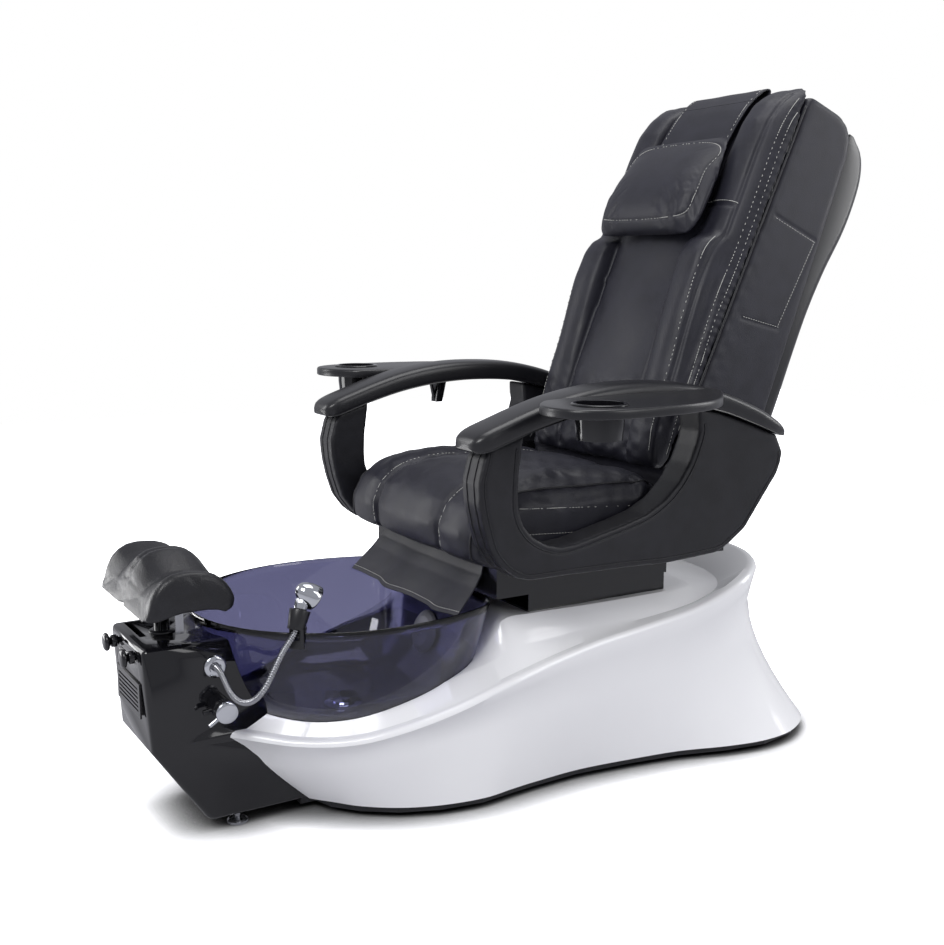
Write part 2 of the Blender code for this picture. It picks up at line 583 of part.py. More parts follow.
def basin_rings(offset, sides=28):
    """Rings of the basin's wall from the drain to the rim, moved outwards by the offset."""
    share, height = np.array(BASIN_PROFILE).T
    reach = basin_reach(np.linspace(0, 2 * math.pi, sides, endpoint=False))
    mean_radius = DRAIN_RADIUS + (BASIN_HALF_WIDTH - DRAIN_RADIUS) * share
    run, rise = np.gradient(mean_radius), np.gradient(height)
    length = np.hypot(run, rise)
    radius = DRAIN_RADIUS + (reach[None, :] - DRAIN_RADIUS) * share[:, None]
    radius = radius + offset * (rise / length)[:, None]
    height = height - offset * run / length
    height[-1] = BASIN_RIM_Z
    angle = np.linspace(0, 2 * math.pi, sides, endpoint=False)
    x = radius * np.cos(angle)[None, :]
    y = BASIN_CENTRE_Y + radius * np.sin(angle)[None, :]
    z = np.broadcast_to(height[:, None], x.shape)
    return np.stack([x, y, z], axis=-1)


def basin_cutter(name, gap):
    """A solid of all that the basin fills, with a gap round it, open upwards."""
    rings = basin_rings(BASIN_WALL + gap)
    top = rings[-1].copy()
    top[:, 2] = BASIN_RIM_Z + 0.08
    low = rings[0].copy()
    low[:, 2] -= 0.001
    return loft(name, [*rings, top])


JET_SLOPE = math.radians(17.8)              # lean of the basin's rear wall
JET_AXIS = Vector((0, -math.cos(JET_SLOPE), math.sin(JET_SLOPE)))


def jet_seat():
    """The point of the basin's inner rear wall on the jet's axis."""
    share, height = np.array(BASIN_PROFILE).T
    reach = DRAIN_RADIUS + (BASIN_FLAT_WALL - DRAIN_RADIUS) * np.interp(JET_Z, height, share)
    return Vector((JET_X, BASIN_CENTRE_Y + reach, JET_Z))


def make_basin():
    inner, outer = basin_rings(0.0), basin_rings(BASIN_WALL)
    sections = np.concatenate([inner, outer[::-1]]).transpose(1, 0, 2)
    sections = np.concatenate([sections, sections[:1]])
    bm = bmesh.new()
    verts = [[bm.verts.new(point) for point in ring] for ring in sections[:-1]]
    width = len(verts[0])
    for i, ring in enumerate(verts):
        after = verts[(i + 1) % len(verts)]
        for j in range(width):
            k = (j + 1) % width
            bm.faces.new((ring[j], ring[k], after[k], after[j]))
    basin = mesh_object("basin", bm, "tinted_clear", "base")
    seat = jet_seat()
    hole = cylinder("jet_hole", seat + JET_AXIS * 0.03, seat - JET_AXIS * 0.03, JET_HOLE_RADIUS)
    cut(basin, hole)


def make_drain():
    """Flanged drain with its bore, the stopper above it and the waste pipe below."""
    floor = BASIN_FLOOR_Z
    centre = (0, BASIN_CENTRE_Y, floor)
    neck = DRAIN_RADIUS - 0.001
    turned(
        "basin_drain",
        [(0.024, 0.0040), (0.038, 0.0030), (0.0385, 0.0012), (neck, 0.0011), (neck, -0.022),
         (0.020, -0.022), (0.020, 0.0025)],
        centre, (0, 0, 1), "chrome", "base",
    )
    turned(
        "drain_stopper",
        [(0.0, 0.0125), (0.012, 0.0115), (0.021, 0.0085), (0.0235, 0.0050), (0.020, 0.0046),
         (0.0196, 0.0030), (0.0196, -0.014), (0.0, -0.014)],
        centre, (0, 0, 1), "chrome", "stopper",
    )
    low, radius, wall = 0.086, 0.0240, 0.0025
    route = [(0, BASIN_CENTRE_Y, floor - 0.0223), (0, BASIN_CENTRE_Y, floor - 0.034),
             (0, BASIN_CENTRE_Y + 0.004, low + 0.014), (0, BASIN_CENTRE_Y + 0.014, low + 0.004),
             (0, BASIN_CENTRE_Y + 0.032, low), (0, BASIN_CENTRE_Y + 0.15, low - 0.001),
             (0, BASIN_CENTRE_Y + 0.50, low - 0.004)]
    route = [Vector(point) for point in route]
    pipe = tube("waste_pipe", route, radius, "grey_plastic", "base")
    route[0], route[-1] = route[0] + Vector((0, 0, 0.01)), route[-1] + Vector((0, 0.01, 0))
    cut(pipe, tube("waste_bore", route, radius - wall))


def make_jet():
    """Whirlpool jet in the basin's rear wall: housing behind it, impeller, slotted cover."""
    seat = jet_seat()
    neck = JET_HOLE_RADIUS - 0.0008
    back = -BASIN_WALL - 0.0008
    turned(
        "jet_housing",
        [(0.0205, 0.0), (neck, 0.0), (neck, back), (0.029, back), (0.029, -0.036),
         (0.025, -0.041), (0.025, -0.080), (0.0, -0.080), (0.0, -0.040), (0.0034, -0.040),
         (0.0034, -0.030), (0.0205, -0.030)],
        seat, JET_AXIS, "grey_plastic", "base",
    )
    hub = cylinder(
        "jet_impeller", seat - JET_AXIS * 0.036, seat - JET_AXIS * 0.010, 0.0030,
        "black_satin", "impeller", sides=16,
    )
    boss = cylinder("impeller_boss", seat - JET_AXIS * 0.026, seat - JET_AXIS * 0.011, 0.0075)
    join(hub, boss)
    for index in range(4):
        blade = box("impeller_blade", (-0.0008, 0.004, -0.005), (0.0008, 0.0185, 0.005))
        blade.data.transform(Matrix.Rotation(math.radians(35), 4, "Y"))
        blade.data.transform(Matrix.Translation((0, 0, -0.0185)))
        blade.data.transform(Matrix.Rotation(index * math.pi / 2, 4, "Z"))
        blade.data.transform(frame_along(seat, JET_AXIS))
        blade.name = "impeller_blade_" + str(index + 1)
        join(hub, blade)
    cover = turned(
        "jet_cover",
        [(0.0, 0.0175), (0.014, 0.0170), (0.030, 0.0145), (0.040, 0.0095), (JET_RADIUS, 0.0055),
         (JET_RADIUS, 0.0040), (0.0198, 0.0040), (0.0198, -0.0045), (0.0170, -0.0045),
         (0.0170, 0.0100), (0.0, 0.0125)],
        seat, JET_AXIS, "grey_plastic", "base",
    )
    for index in range(6):
        slot = box("jet_slot", (-0.0022, 0.006, -0.002), (0.0022, 0.0150, 0.030))
        slot.data.transform(Matrix.Rotation(index * math.pi / 3, 4, "Z"))
        slot.data.transform(frame_along(seat, JET_AXIS))
        slot.name = "jet_slot_" + str(index + 1)
        cut(cover, slot)


# ---------------------------------------------------------------- white shell and what is under it
def refined(rows, between=1):
    """Rows of numbers with Catmull-Rom rows put between them."""
    rows = np.asarray(rows, float)
    padded = np.vstack([2 * rows[0] - rows[1], rows, 2 * rows[-1] - rows[-2]])
    result = []
    for a, b, c, d in zip(padded[:-3], padded[1:-2], padded[2:-1], padded[3:]):
        for step in range(between + 1):
            t = step / (between + 1)
            result.append(0.5 * (2 * b + (c - a) * t + (2 * a - 5 * b + 4 * c - d) * t ** 2
                                 + (3 * b - a - 3 * c + d) * t ** 3))
    return np.array([*result, rows[-1]])


def shell_rings():
    """For each station of the right half, the points from the foot up and in to the middle."""
    rings = []
    for row in refined(SHELL_STATIONS, 0):
        foot = np.array([row[0], row[1], SHELL_FOOT_Z])
        crease, shoulder, groove, edge = row[2:5], row[5:8], row[8:11], row[11:14]
        middle = np.array([0.0, row[14], row[15]])
        inward = (groove - shoulder)[:2]
        inward = np.append(inward / np.linalg.norm(inward), 0.0)
        ring = [foot]
        bend = np.interp(row[1], FLARE_SPAN, FLARE_BEND)
        for share in (0.30, 0.68):
            point = crease + (foot - crease) * (1 - share) ** bend
            point[2] = foot[2] + (crease[2] - foot[2]) * share
            ring.append(point)
        low = shoulder + (0, 0, -1.7 * LIP_ROUND)
        ring += [
            crease, low,
            shoulder + inward * 0.15 * LIP_ROUND + (0, 0, -0.6 * LIP_ROUND),
            shoulder + inward * 0.9 * LIP_ROUND, shoulder + inward * LIP_WIDTH * 0.7,
            groove, edge, middle,
        ]
        rings.append(ring)
    return np.array(rings)


def make_shell(basin_gap_cutter):
    rings = shell_rings()
    rings[0, :, 0] = rings[-1, :, 0] = 0.0
    bm = bmesh.new()
    verts = [[bm.verts.new(point) for point in ring] for ring in rings]
    for ring, after in zip(verts[:-1], verts[1:]):
        for j in range(len(ring) - 1):
            bm.faces.new((ring[j], after[j], after[j + 1], ring[j + 1]))
    bm.normal_update()
    band = verts[len(verts) // 2][3]
    if sum(face.normal.x for face in band.link_faces) < 0:
        bmesh.ops.reverse_faces(bm, faces=bm.faces)
    mesh = bpy.data.meshes.new("base_shell")
    bm.to_mesh(mesh)
    bm.free()
    mesh.shade_smooth()
    shell = register(bpy.data.objects.new("base_shell", mesh), "white_gelcoat", "base")
    mirror = shell.modifiers.new("other half", "MIRROR")
    mirror.merge_threshold = 0.00001
    wall = shell.modifiers.new("wall", "SOLIDIFY")
    wall.thickness = SHELL_WALL
    wall.offset = -1.0
    gap = CLEARANCE + 0.0003
    console_gap = box(
        "console_gap", (-CONSOLE_HALF_WIDTH - gap, -0.80, -0.05),
        (CONSOLE_HALF_WIDTH + gap, CONSOLE_REAR_Y + gap, 0.50),
    )
    cut(shell, console_gap, basin_gap_cutter)


CONSOLE_REAR_Y = CONSOLE_OUTLINE[3][0]
REAR_FOOT_X, REAR_FOOT_Y = 0.270, 0.520
CONSOLE_FOOT_X, CONSOLE_FOOT_Y = 0.078, -0.550


def make_pan_and_feet():
    """Black pan under the shell, and the four levelling feet."""
    inset = 0.008
    half = [(max(row[0] - inset, 0.0), row[1]) for row in refined(SHELL_STATIONS[2:], 0)]
    half = [(x, y - inset if y > 0.6 else y) for x, y in half]
    half = [(0.090, -0.432), (0.090, -0.432 + 0.030), *half[1:]]
    right = [(x, y) for x, y in half if x > 0]
    rear_y = half[-1][1]
    outline = right + [(0.0, rear_y)] + [(-x, y) for x, y in reversed(right)]
    top = SHELL_FOOT_Z - CLEARANCE
    pan = plate("base_pan", [outline], top - PAN_THICKNESS, top, "Z", "black_satin", "base")
    for side in (-1, 1):
        hole = cylinder(
            "pan_hole", (side * REAR_FOOT_X, REAR_FOOT_Y, 0), (side * REAR_FOOT_X, REAR_FOOT_Y, 0.05),
            FOOT_STEM_RADIUS + SLIDE_FIT,
        )
        hole.name = "pan_hole_left" if side > 0 else "pan_hole_right"
        cut(pan, hole)
    places = {
        "levelling_foot_front_left": (CONSOLE_FOOT_X, CONSOLE_FOOT_Y),
        "levelling_foot_front_right": (-CONSOLE_FOOT_X, CONSOLE_FOOT_Y),
        "levelling_foot_rear_left": (REAR_FOOT_X, REAR_FOOT_Y),
        "levelling_foot_rear_right": (-REAR_FOOT_X, REAR_FOOT_Y),
    }
    for name, (x, y) in places.items():
        turned(
            name,
            [(0.0, 0.036), (FOOT_STEM_RADIUS, 0.036), (FOOT_STEM_RADIUS, FOOT_DISC_HEIGHT),
             (FOOT_DISC_RADIUS - 0.004, FOOT_DISC_HEIGHT), (FOOT_DISC_RADIUS, FOOT_DISC_HEIGHT - 0.003),
             (FOOT_DISC_RADIUS, 0.001), (FOOT_DISC_RADIUS - 0.001, 0.0), (0.0, 0.0)],
            (x, y, 0), (0, 0, 1), "steel", "base", sides=12,
        )


def make_underframe():
    """Welded steel frame that stands on the pan and carries plateau and basin."""
    foot = SHELL_FOOT_Z
    bar = 0.030
    top = PLATEAU_Z - SHELL_WALL - 0.0008
    outer, inner = 0.180, 0.180 - bar
    frame = box("underframe", (inner, -0.300, foot), (outer, 0.480, foot + bar), "black_steel", "base")
    pieces = [box("frame_rail", (-outer, -0.300, foot), (-inner, 0.480, foot + bar))]
    for y in (-0.299, 0.021, 0.289, 0.449):
        pieces.append(box("frame_cross", (-outer + 0.002, y, foot + 0.001),
            (outer - 0.002, y + bar, foot + bar - 0.001)))
    for side in (-1, 1):
        for y in (0.022, 0.290):
            x = side * (inner + outer) / 2
            half = bar / 2 - 0.001
            pieces.append(box("frame_post", (x - half, y, foot + 0.01), (x + half, y + bar - 0.002, top)))
        low, high = sorted((side * (inner + 0.002), side * (outer - 0.002)))
        pieces.append(box("frame_top", (low, 0.010, top - 0.022), (high, 0.335, top - 0.0005)))
        low, high = sorted((side * 0.070, side * 0.098))
        pieces.append(box("basin_rest", (low, -0.297, foot + 0.005),
            (high, -0.275, BASIN_FLOOR_Z - BASIN_WALL - 0.0030)))
    for index, piece in enumerate(pieces):
        piece.name = "frame_piece_" + str(index + 1)
        join(frame, piece)


def make_rail_box():
    """Open-topped steel channel on the plateau: the seat's runners slide in it."""
    half, wall, lip = RAIL_HALF_WIDTH, RAIL_WALL, 0.030
    section = [
        (-half, RAIL_LOW_Z), (half, RAIL_LOW_Z), (half, RAIL_HIGH_Z), (half - lip, RAIL_HIGH_Z),
        (half - lip, RAIL_HIGH_Z - wall), (half - wall, RAIL_HIGH_Z - wall),
        (half - wall, RAIL_LOW_Z + wall), (-half + wall, RAIL_LOW_Z + wall),
        (-half + wall, RAIL_HIGH_Z - wall), (-half + lip, RAIL_HIGH_Z - wall),
        (-half + lip, RAIL_HIGH_Z), (-half, RAIL_HIGH_Z),
    ]
    plate("rail_box", [section], RAIL_FRONT_Y, RAIL_REAR_Y, "Y", "black_steel", "base")


SLIDE_ROD_X = 0.060
SLIDE_ROD_RADIUS = 0.006
SLIDE_TUBE_RADIUS = 0.012
SLIDE_ROD_Z = RAIL_LOW_Z + RAIL_WALL + SLIDE_TUBE_RADIUS + CLEARANCE


def make_slide_actuator():
    """Electric cylinder that moves the seat: its tube on the rail box, its rod on the seat."""
    at = (SLIDE_ROD_X, 0.0, SLIDE_ROD_Z)
    bore = SLIDE_ROD_RADIUS + SLIDE_FIT
    turned(
        "slide_actuator",
        [(bore, 0.190), (SLIDE_TUBE_RADIUS, 0.190), (SLIDE_TUBE_RADIUS, 0.010), (0.0, 0.010),
         (0.0, 0.015), (bore, 0.015)],
        at, (0, 1, 0), "steel", "base", sides=20,
    )
    turned(
        "slide_rod",
        [(0.0, SEAT_LUG_Y - CLEARANCE), (SLIDE_ROD_RADIUS, SEAT_LUG_Y - CLEARANCE),
        (SLIDE_ROD_RADIUS, 0.105),
         (0.0, 0.105)],
        at, (0, 1, 0), "chrome", "seat", sides=16,
    )


SEAT_LUG_Y = 0.2830


# ---------------------------------------------------------------- console
def inset_outline(outline, distance):
    """A closed outline moved inwards by a distance."""
    points = np.array(outline, float)
    after = np.roll(points, -1, 0)
    area = np.sum(points[:, 0] * after[:, 1] - after[:, 0] * points[:, 1])
    edge = (after - points) / np.linalg.norm(after - points, axis=1)[:, None]
    normal = np.column_stack([-edge[:, 1], edge[:, 0]]) * np.sign(area)
    before = np.roll(normal, 1, 0)
    together = 1.0 + np.sum(normal * before, axis=1)
    moved = points + (normal + before) * (distance / together)[:, None]
    return [tuple(point) for point in moved]


def console_front_y(z):
    """The y of the console's front face at a height."""
    (y_high, z_high), (y_low, z_low) = CONSOLE_OUTLINE[:2]
    return y_high + (y_low - y_high) * (z_high - z) / (z_high - z_low)


def make_console(basin_gap_cutter):
    half = CONSOLE_HALF_WIDTH
    console = plate("console_shell", [CONSOLE_OUTLINE], -half, half, "X", "black_gloss", "base")
    bevel(console, CONSOLE_ROUND, 2)
    hollow = inset_outline(CONSOLE_OUTLINE, CONSOLE_WALL)
    hollow[3] = (CONSOLE_REAR_Y + 0.050, hollow[3][1])
    hollow[4] = (CONSOLE_REAR_Y + 0.050, hollow[4][1] + 0.02)
    inside = half - CONSOLE_WALL
    cut(console, plate("console_hollow", [hollow], -inside, inside, "X"), basin_gap_cutter)
    slot_low, slot_high = (-0.086, -0.6945, CONSOLE_TOP_Z - 0.02), (0.017, -0.6825, CONSOLE_TOP_Z + 0.02)
    holes = [
        box("console_slot", slot_low, slot_high),
        cylinder("sleeve_hole", (0, POST_Y, 0.30), (0, POST_Y, 0.40), SLEEVE_NECK + SLIDE_FIT),
        box("grille_window", (-GRILLE_HALF_WIDTH + 0.004, -0.74, GRILLE_LOW_Z + 0.004),
            (GRILLE_HALF_WIDTH - 0.004, -0.69, GRILLE_HIGH_Z - 0.004)),
        cylinder("hose_hole", (0.08, HOSE_Y, HOSE_Z), (0.12, HOSE_Y, HOSE_Z), 0.0100),
        cylinder("mixer_hole", (0.08, MIXER_Y, MIXER_Z), (0.12, MIXER_Y, MIXER_Z), 0.0125),
    ]
    for side in (-1, 1):
        holes.append(cylinder("bushing_hole", (side * KNOB_X, -0.74, KNOB_Z),
            (side * KNOB_X, -0.70, KNOB_Z), 0.0088))
        holes.append(cylinder("foot_hole", (side * CONSOLE_FOOT_X, CONSOLE_FOOT_Y, 0.0),
                              (side * CONSOLE_FOOT_X, CONSOLE_FOOT_Y, 0.05), FOOT_STEM_RADIUS + SLIDE_FIT))
    for index, hole in enumerate(holes):
        hole.name = "console_hole_" + str(index + 1)
        cut(console, hole)


SLEEVE_NECK = 0.0185


def make_footrest():
    """Sleeve in the console, post with its fork, bracket and plate, and the pad on top."""
    turned(
        "post_sleeve",
        [(0.0160, 0.0045), (0.0225, 0.0030), (0.0230, 0.0004), (SLEEVE_NECK, 0.0002), (SLEEVE_NECK, -0.150),
         (POST_RADIUS + SLIDE_FIT, -0.150), (POST_RADIUS + SLIDE_FIT, 0.0035)],
        (0, POST_Y, CONSOLE_TOP_Z), (0, 0, 1), "black_satin", "base",
    )
    hinge = FOOTREST_HINGE_Z
    post = cylinder("footrest_post", (0, POST_Y, 0.140), (0, POST_Y, hinge - 0.014), POST_RADIUS,
        "black_steel", "footrest_column")
    ears = [box("fork_" + name, (low, POST_Y - 0.009, hinge - 0.020),
        (low + 0.0055, POST_Y + 0.009, hinge + 0.0068))
            for name, low in (("left", 0.0065), ("right", -0.0120))]
    pin = cylinder("fork_pin", (-0.010, POST_Y, hinge), (0.010, POST_Y, hinge), 0.0038)
    join(post, *ears, pin)
    half_x, front_y, rear_y = 0.100, -0.6640, -0.5995
    plate_low, plate_high = 0.4130, 0.4162
    support = box("footrest_plate", (-half_x, front_y, plate_low), (half_x, rear_y, plate_high), "steel",
        "footrest")
    lug = box("hinge_lug", (-0.0060, POST_Y - 0.0075, hinge - 0.0075),
        (0.0060, POST_Y + 0.0075, plate_high - 0.001))
    join(support, lug)
    cut(support, cylinder("lug_hole", (-0.02, POST_Y, hinge), (0.02, POST_Y, hinge), 0.0042))
    bracket = box("footrest_bracket", (0.0535, -0.6425, 0.3590), (0.0565, -0.6280, plate_low - 0.0003),
        "steel", "footrest")
    join(bracket, box("bracket_flange", (0.0540, -0.6415, plate_low - 0.0033),
        (0.0780, -0.6290, plate_low - 0.0004)))
    make_footrest_pad()


def pad_ring(x, scale, rise):
    """The pad's outline at one place across it: shrunk about its middle, its top raised."""
    outline = smooth_closed(PAD_OUTLINE, 24)
    middle = np.array([-0.641, 0.442])
    top = np.clip((outline[:, 1] - 0.434) / 0.040, 0, 1)
    shaped = middle + (outline - middle) * scale
    shaped[:, 1] += rise * top
    return np.column_stack([np.full(len(shaped), x), shaped])


def smooth_closed(outline, samples):
    """Evenly spaced points of a Catmull-Rom curve round a closed outline."""
    outline = np.array(outline, float)
    looped = np.vstack([outline[-2:], outline, outline[:3]])
    t = np.linspace(0, 1, 10, endpoint=False)[:, None]
    parts = []
    for a, b, c, d in zip(looped[1:-3], looped[2:-2], looped[3:-1], looped[4:]):
        parts.append(0.5 * (2 * b + (c - a) * t + (2 * a - 5 * b + 4 * c - d) * t ** 2
                            + (3 * b - a - 3 * c + d) * t ** 3))
    dense = np.vstack([*parts, parts[0][:1]])
    along = np.concatenate([[0], np.cumsum(np.linalg.norm(np.diff(dense, axis=0), axis=1))])
    wanted = np.linspace(0, along[-1], samples, endpoint=False)
    return np.stack([np.interp(wanted, along, column) for column in dense.T], axis=1)


def make_footrest_pad():
    half = PAD_HALF_WIDTH
    # distance from the middle, scale, rise of the top: groove, ridge, cradle, end wall, round end
    shapes = [(0.0, 0.955, 0.014), (0.004, 0.99, 0.018), (0.012, 1.0, 0.018), (0.030, 1.0, 0.009),
              (0.072, 1.0, -0.014), (0.104, 1.0, -0.006), (half - 0.016, 1.0, 0.006),
              (half - 0.005, 0.95, 0.004), (half, 0.84, 0.0)]
    right = [pad_ring(x, scale, rise) for x, scale, rise in shapes]
    left = [ring * (-1, 1, 1) for ring in reversed(right[1:])]
    loft("footrest_pad", [*left, *right], "moulded_foam", "footrest")


def make_grille():
    """Louvred panel in the console's front."""
    middle = (GRILLE_LOW_Z + GRILLE_HIGH_Z) / 2
    half = (GRILLE_HIGH_Z - GRILLE_LOW_Z) / 2
    y = console_front_y(GRILLE_HIGH_Z) - 0.0004
    grille = box("console_grille", (-GRILLE_HALF_WIDTH, y - 0.0030, middle - half),
        (GRILLE_HALF_WIDTH, y, middle + half), "black_satin", "base")
    neck = box("grille_neck", (-GRILLE_HALF_WIDTH + 0.0048, y - 0.0010, middle - half + 0.0048),
               (GRILLE_HALF_WIDTH - 0.0048, y + 0.0085, middle + half - 0.0048))
    join(grille, neck)
    for index in range(6):
        z = middle + (index - 2.5) * 0.0078
        cut(grille, box("louvre_" + str(index + 1), (-GRILLE_HALF_WIDTH + 0.010, y - 0.02, z - 0.0016),
                        (GRILLE_HALF_WIDTH - 0.010, y + 0.02, z + 0.0016)))


def make_knobs():
    bushing_y = console_front_y(KNOB_Z) - 0.0011
    fit = KNOB_STEM_RADIUS + SLIDE_FIT
    for name, side, body in (("height_knob", 1, "height_knob"), ("drain_knob", -1, "drain_knob")):
        stem = KNOB_STEM_RADIUS
        turned(
            name,
            [(0.0, 0.0), (0.010, -0.0008), (0.0150, -0.0028), (KNOB_DISC_RADIUS, -0.0058),
             (0.0152, -0.0092), (0.0080, -0.0120), (stem, -0.0145), (stem, -0.082), (0.0, -0.082)],
            (side * KNOB_X, KNOB_FRONT_Y, KNOB_Z), (0, -1, 0), "black_gloss", body, sides=12,
        )
        turned(
            name.replace("knob", "bushing"),
            [(fit, 0.0095), (0.0092, 0.0095), (0.0112, 0.0080), (0.0112, 0.0), (0.0083, 0.0),
            (0.0083, -0.014),
             (fit, -0.014)],
            (side * KNOB_X, bushing_y, KNOB_Z), (0, -1, 0), "black_gloss", "base", sides=12,
        )


def make_mixer():
    """Mixing valve on the console's side, with its chrome control disc and lever."""
    wall = CONSOLE_HALF_WIDTH
    body = turned(
        "mixer_body",
        [(0.0, 0.0370), (0.0150, 0.0370), (MIXER_BODY_RADIUS, 0.0340), (MIXER_BODY_RADIUS, 0.0004),
         (0.0120, 0.0004), (0.0120, -0.020), (0.0, -0.020)],
        (wall, MIXER_Y, MIXER_Z), (1, 0, 0), "black_gloss", "base",
    )
    prong_start = Vector((wall + 0.020, MIXER_Y - 0.010, MIXER_Z - 0.002))
    join(body, cylinder("mixer_prong", prong_start, prong_start + Vector((0, -0.022, -0.003)), 0.0050))
    cut(body, cylinder("mixer_bore", (wall + 0.025, MIXER_Y, MIXER_Z), (wall + 0.06, MIXER_Y, MIXER_Z),
        0.0064))
    disc = MIXER_DISC_RADIUS
    knob = turned(
        "mixer_knob",
        [(0.0, 0.0560), (disc - 0.003, 0.0555), (disc, 0.0530), (disc, 0.0400), (disc - 0.002, 0.0378),
         (0.0060, 0.0374), (0.0060, 0.0270), (0.0, 0.0270)],
        (wall, MIXER_Y, MIXER_Z), (1, 0, 0), "chrome", "mixer_control",
    )
    lever_start = Vector((wall + 0.047, MIXER_Y - 0.014, MIXER_Z - 0.009))
    join(knob, cylinder("mixer_lever", lever_start, lever_start + Vector((0.0, -0.017, -0.011)), 0.0042,
        sides=12))


def make_hose_and_flange():
    turned(
        "hose_flange",
        [(0.0100, 0.0056), (0.0165, 0.0055), (0.0200, 0.0035), (0.0205, 0.0004), (0.0095, 0.0004),
        (0.0095, -0.016),
         (0.0052, -0.016), (0.0052, 0.0042)],
        (CONSOLE_HALF_WIDTH, HOSE_Y, HOSE_Z), (1, 0, 0), "chrome", "base",
    )
    length = float(np.sum(np.linalg.norm(np.diff(smooth_curve(HOSE_ROUTE, 400), axis=0), axis=1)))
    plain = 2 * HOSE_RADIUS                       # straight plain stretch at each end
    samples = 2 * HOSE_RIBS + 1
    share = np.concatenate([[0.0], np.linspace(plain, length - plain, samples) / length, [1.0]])
    dense = smooth_curve(HOSE_ROUTE, 1200)
    route = np.stack([np.interp(share, np.linspace(0, 1, 1200), column) for column in dense.T], axis=1)
    low = 1.0 - HOSE_RIB_DEPTH / HOSE_RADIUS
    radii = [low] + [low if index % 2 == 0 else 1.0 for index in range(samples)] + [low]
    hose = meshed(tube_curve("spray_hose", route, HOSE_RADIUS, 2, radii), "steel", "base")
    bore_route = smooth_curve(HOSE_ROUTE, 18)
    start, end = bore_route[0], bore_route[-1]
    bore_route[0] = start - (bore_route[1] - start) / np.linalg.norm(bore_route[1] - start) * 0.004
    bore_route[-1] = end + (end - bore_route[-2]) / np.linalg.norm(end - bore_route[-2]) * 0.004
    cut(hose, tube("hose_bore", bore_route, HOSE_BORE_RADIUS, resolution=1))
    print("hose length", round(length, 4), "m")


HOSE_END = Vector(HOSE_ROUTE[-1])
HOSE_LEAVES = (Vector(HOSE_ROUTE[-1]) - Vector(HOSE_ROUTE[-2])).normalized()


def make_spray():
    """Hand spray: nut and neck on the hose's line, bell turned to the basin."""
    neck_end = HOSE_END + HOSE_LEAVES * 0.040
    turned(
        "spray_handle",
        [(0.0, 0.040), (0.0110, 0.040), (0.0118, 0.030), (0.0105, 0.019), (0.0085, 0.018), (0.0085, 0.0095),
         (0.0078, 0.0085), (0.0078, 0.0003), (0.0, 0.0003)],
        HOSE_END, HOSE_LEAVES, "chrome", "hand_spray",
    )
    facing = Vector((0.10, 0.80, -0.58)).normalized()
    back = neck_end + HOSE_LEAVES * 0.012 - facing * 0.012
    head = turned(
        "spray_head",
        [(0.0, 0.030), (0.0150, 0.030), (0.0170, 0.036), (0.0205, 0.037), (0.0222, 0.034), (0.0215, 0.026),
         (0.0175, 0.010), (0.0120, 0.001), (0.0060, -0.003), (0.0, -0.004)],
        back, facing, "chrome", "hand_spray", sides=20,
    )
    cut(head, cylinder("spray_socket", HOSE_END, HOSE_END + HOSE_LEAVES * 0.0405, 0.0122))


def make_spray_holder():
    """Clip over the basin's rim, with the ring that the hand spray stands in."""
    outward = Vector((HOSE_END.x, HOSE_END.y - BASIN_CENTRE_Y, 0)).normalized()
    angle = math.atan2(outward.y, outward.x)
    rim = float(basin_reach(np.array(angle)))
    sideways = Vector((-outward.y, outward.x, 0))
    centre = Vector((0, BASIN_CENTRE_Y, 0))

    def slab(name, near, far, low, high, half_width, body=None):
        piece = box(name, (near, -half_width, low), (far, half_width, high), "black_satin", body)
        turn = Matrix((outward, sideways, Vector((0, 0, 1)))).transposed().to_4x4()
        piece.data.transform(Matrix.Translation(centre) @ turn)
        return piece

    outside, inside = rim + BASIN_WALL + 0.0012, rim - 0.0012
    holder = slab("spray_holder", outside, outside + 0.0050, 0.351, 0.3905, 0.0128, "base")
    bridge = slab("holder_bridge", inside - 0.0090, outside + 0.004, BASIN_RIM_Z + 0.0012, 0.3855, 0.0120)
    tongue = slab("holder_tongue", inside - 0.0086, inside - 0.0050, 0.362, 0.3850, 0.0110)
    ring_low = HOSE_END - HOSE_LEAVES * 0.0135
    ring_high = HOSE_END + HOSE_LEAVES * 0.0205
    collar = cylinder("holder_collar", ring_low, ring_high, 0.0145, end_radius=0.0185)
    join(holder, bridge, tongue, collar)
    way = HOSE_RADIUS + 0.0010
    cut(holder, turned(
        "holder_bore",
        [(0.0, 0.050), (0.0126, 0.050), (0.0126, 0.0), (way, 0.0), (way + 0.0045, -0.031), (0.0, -0.031)],
        HOSE_END, HOSE_LEAVES,
    ))


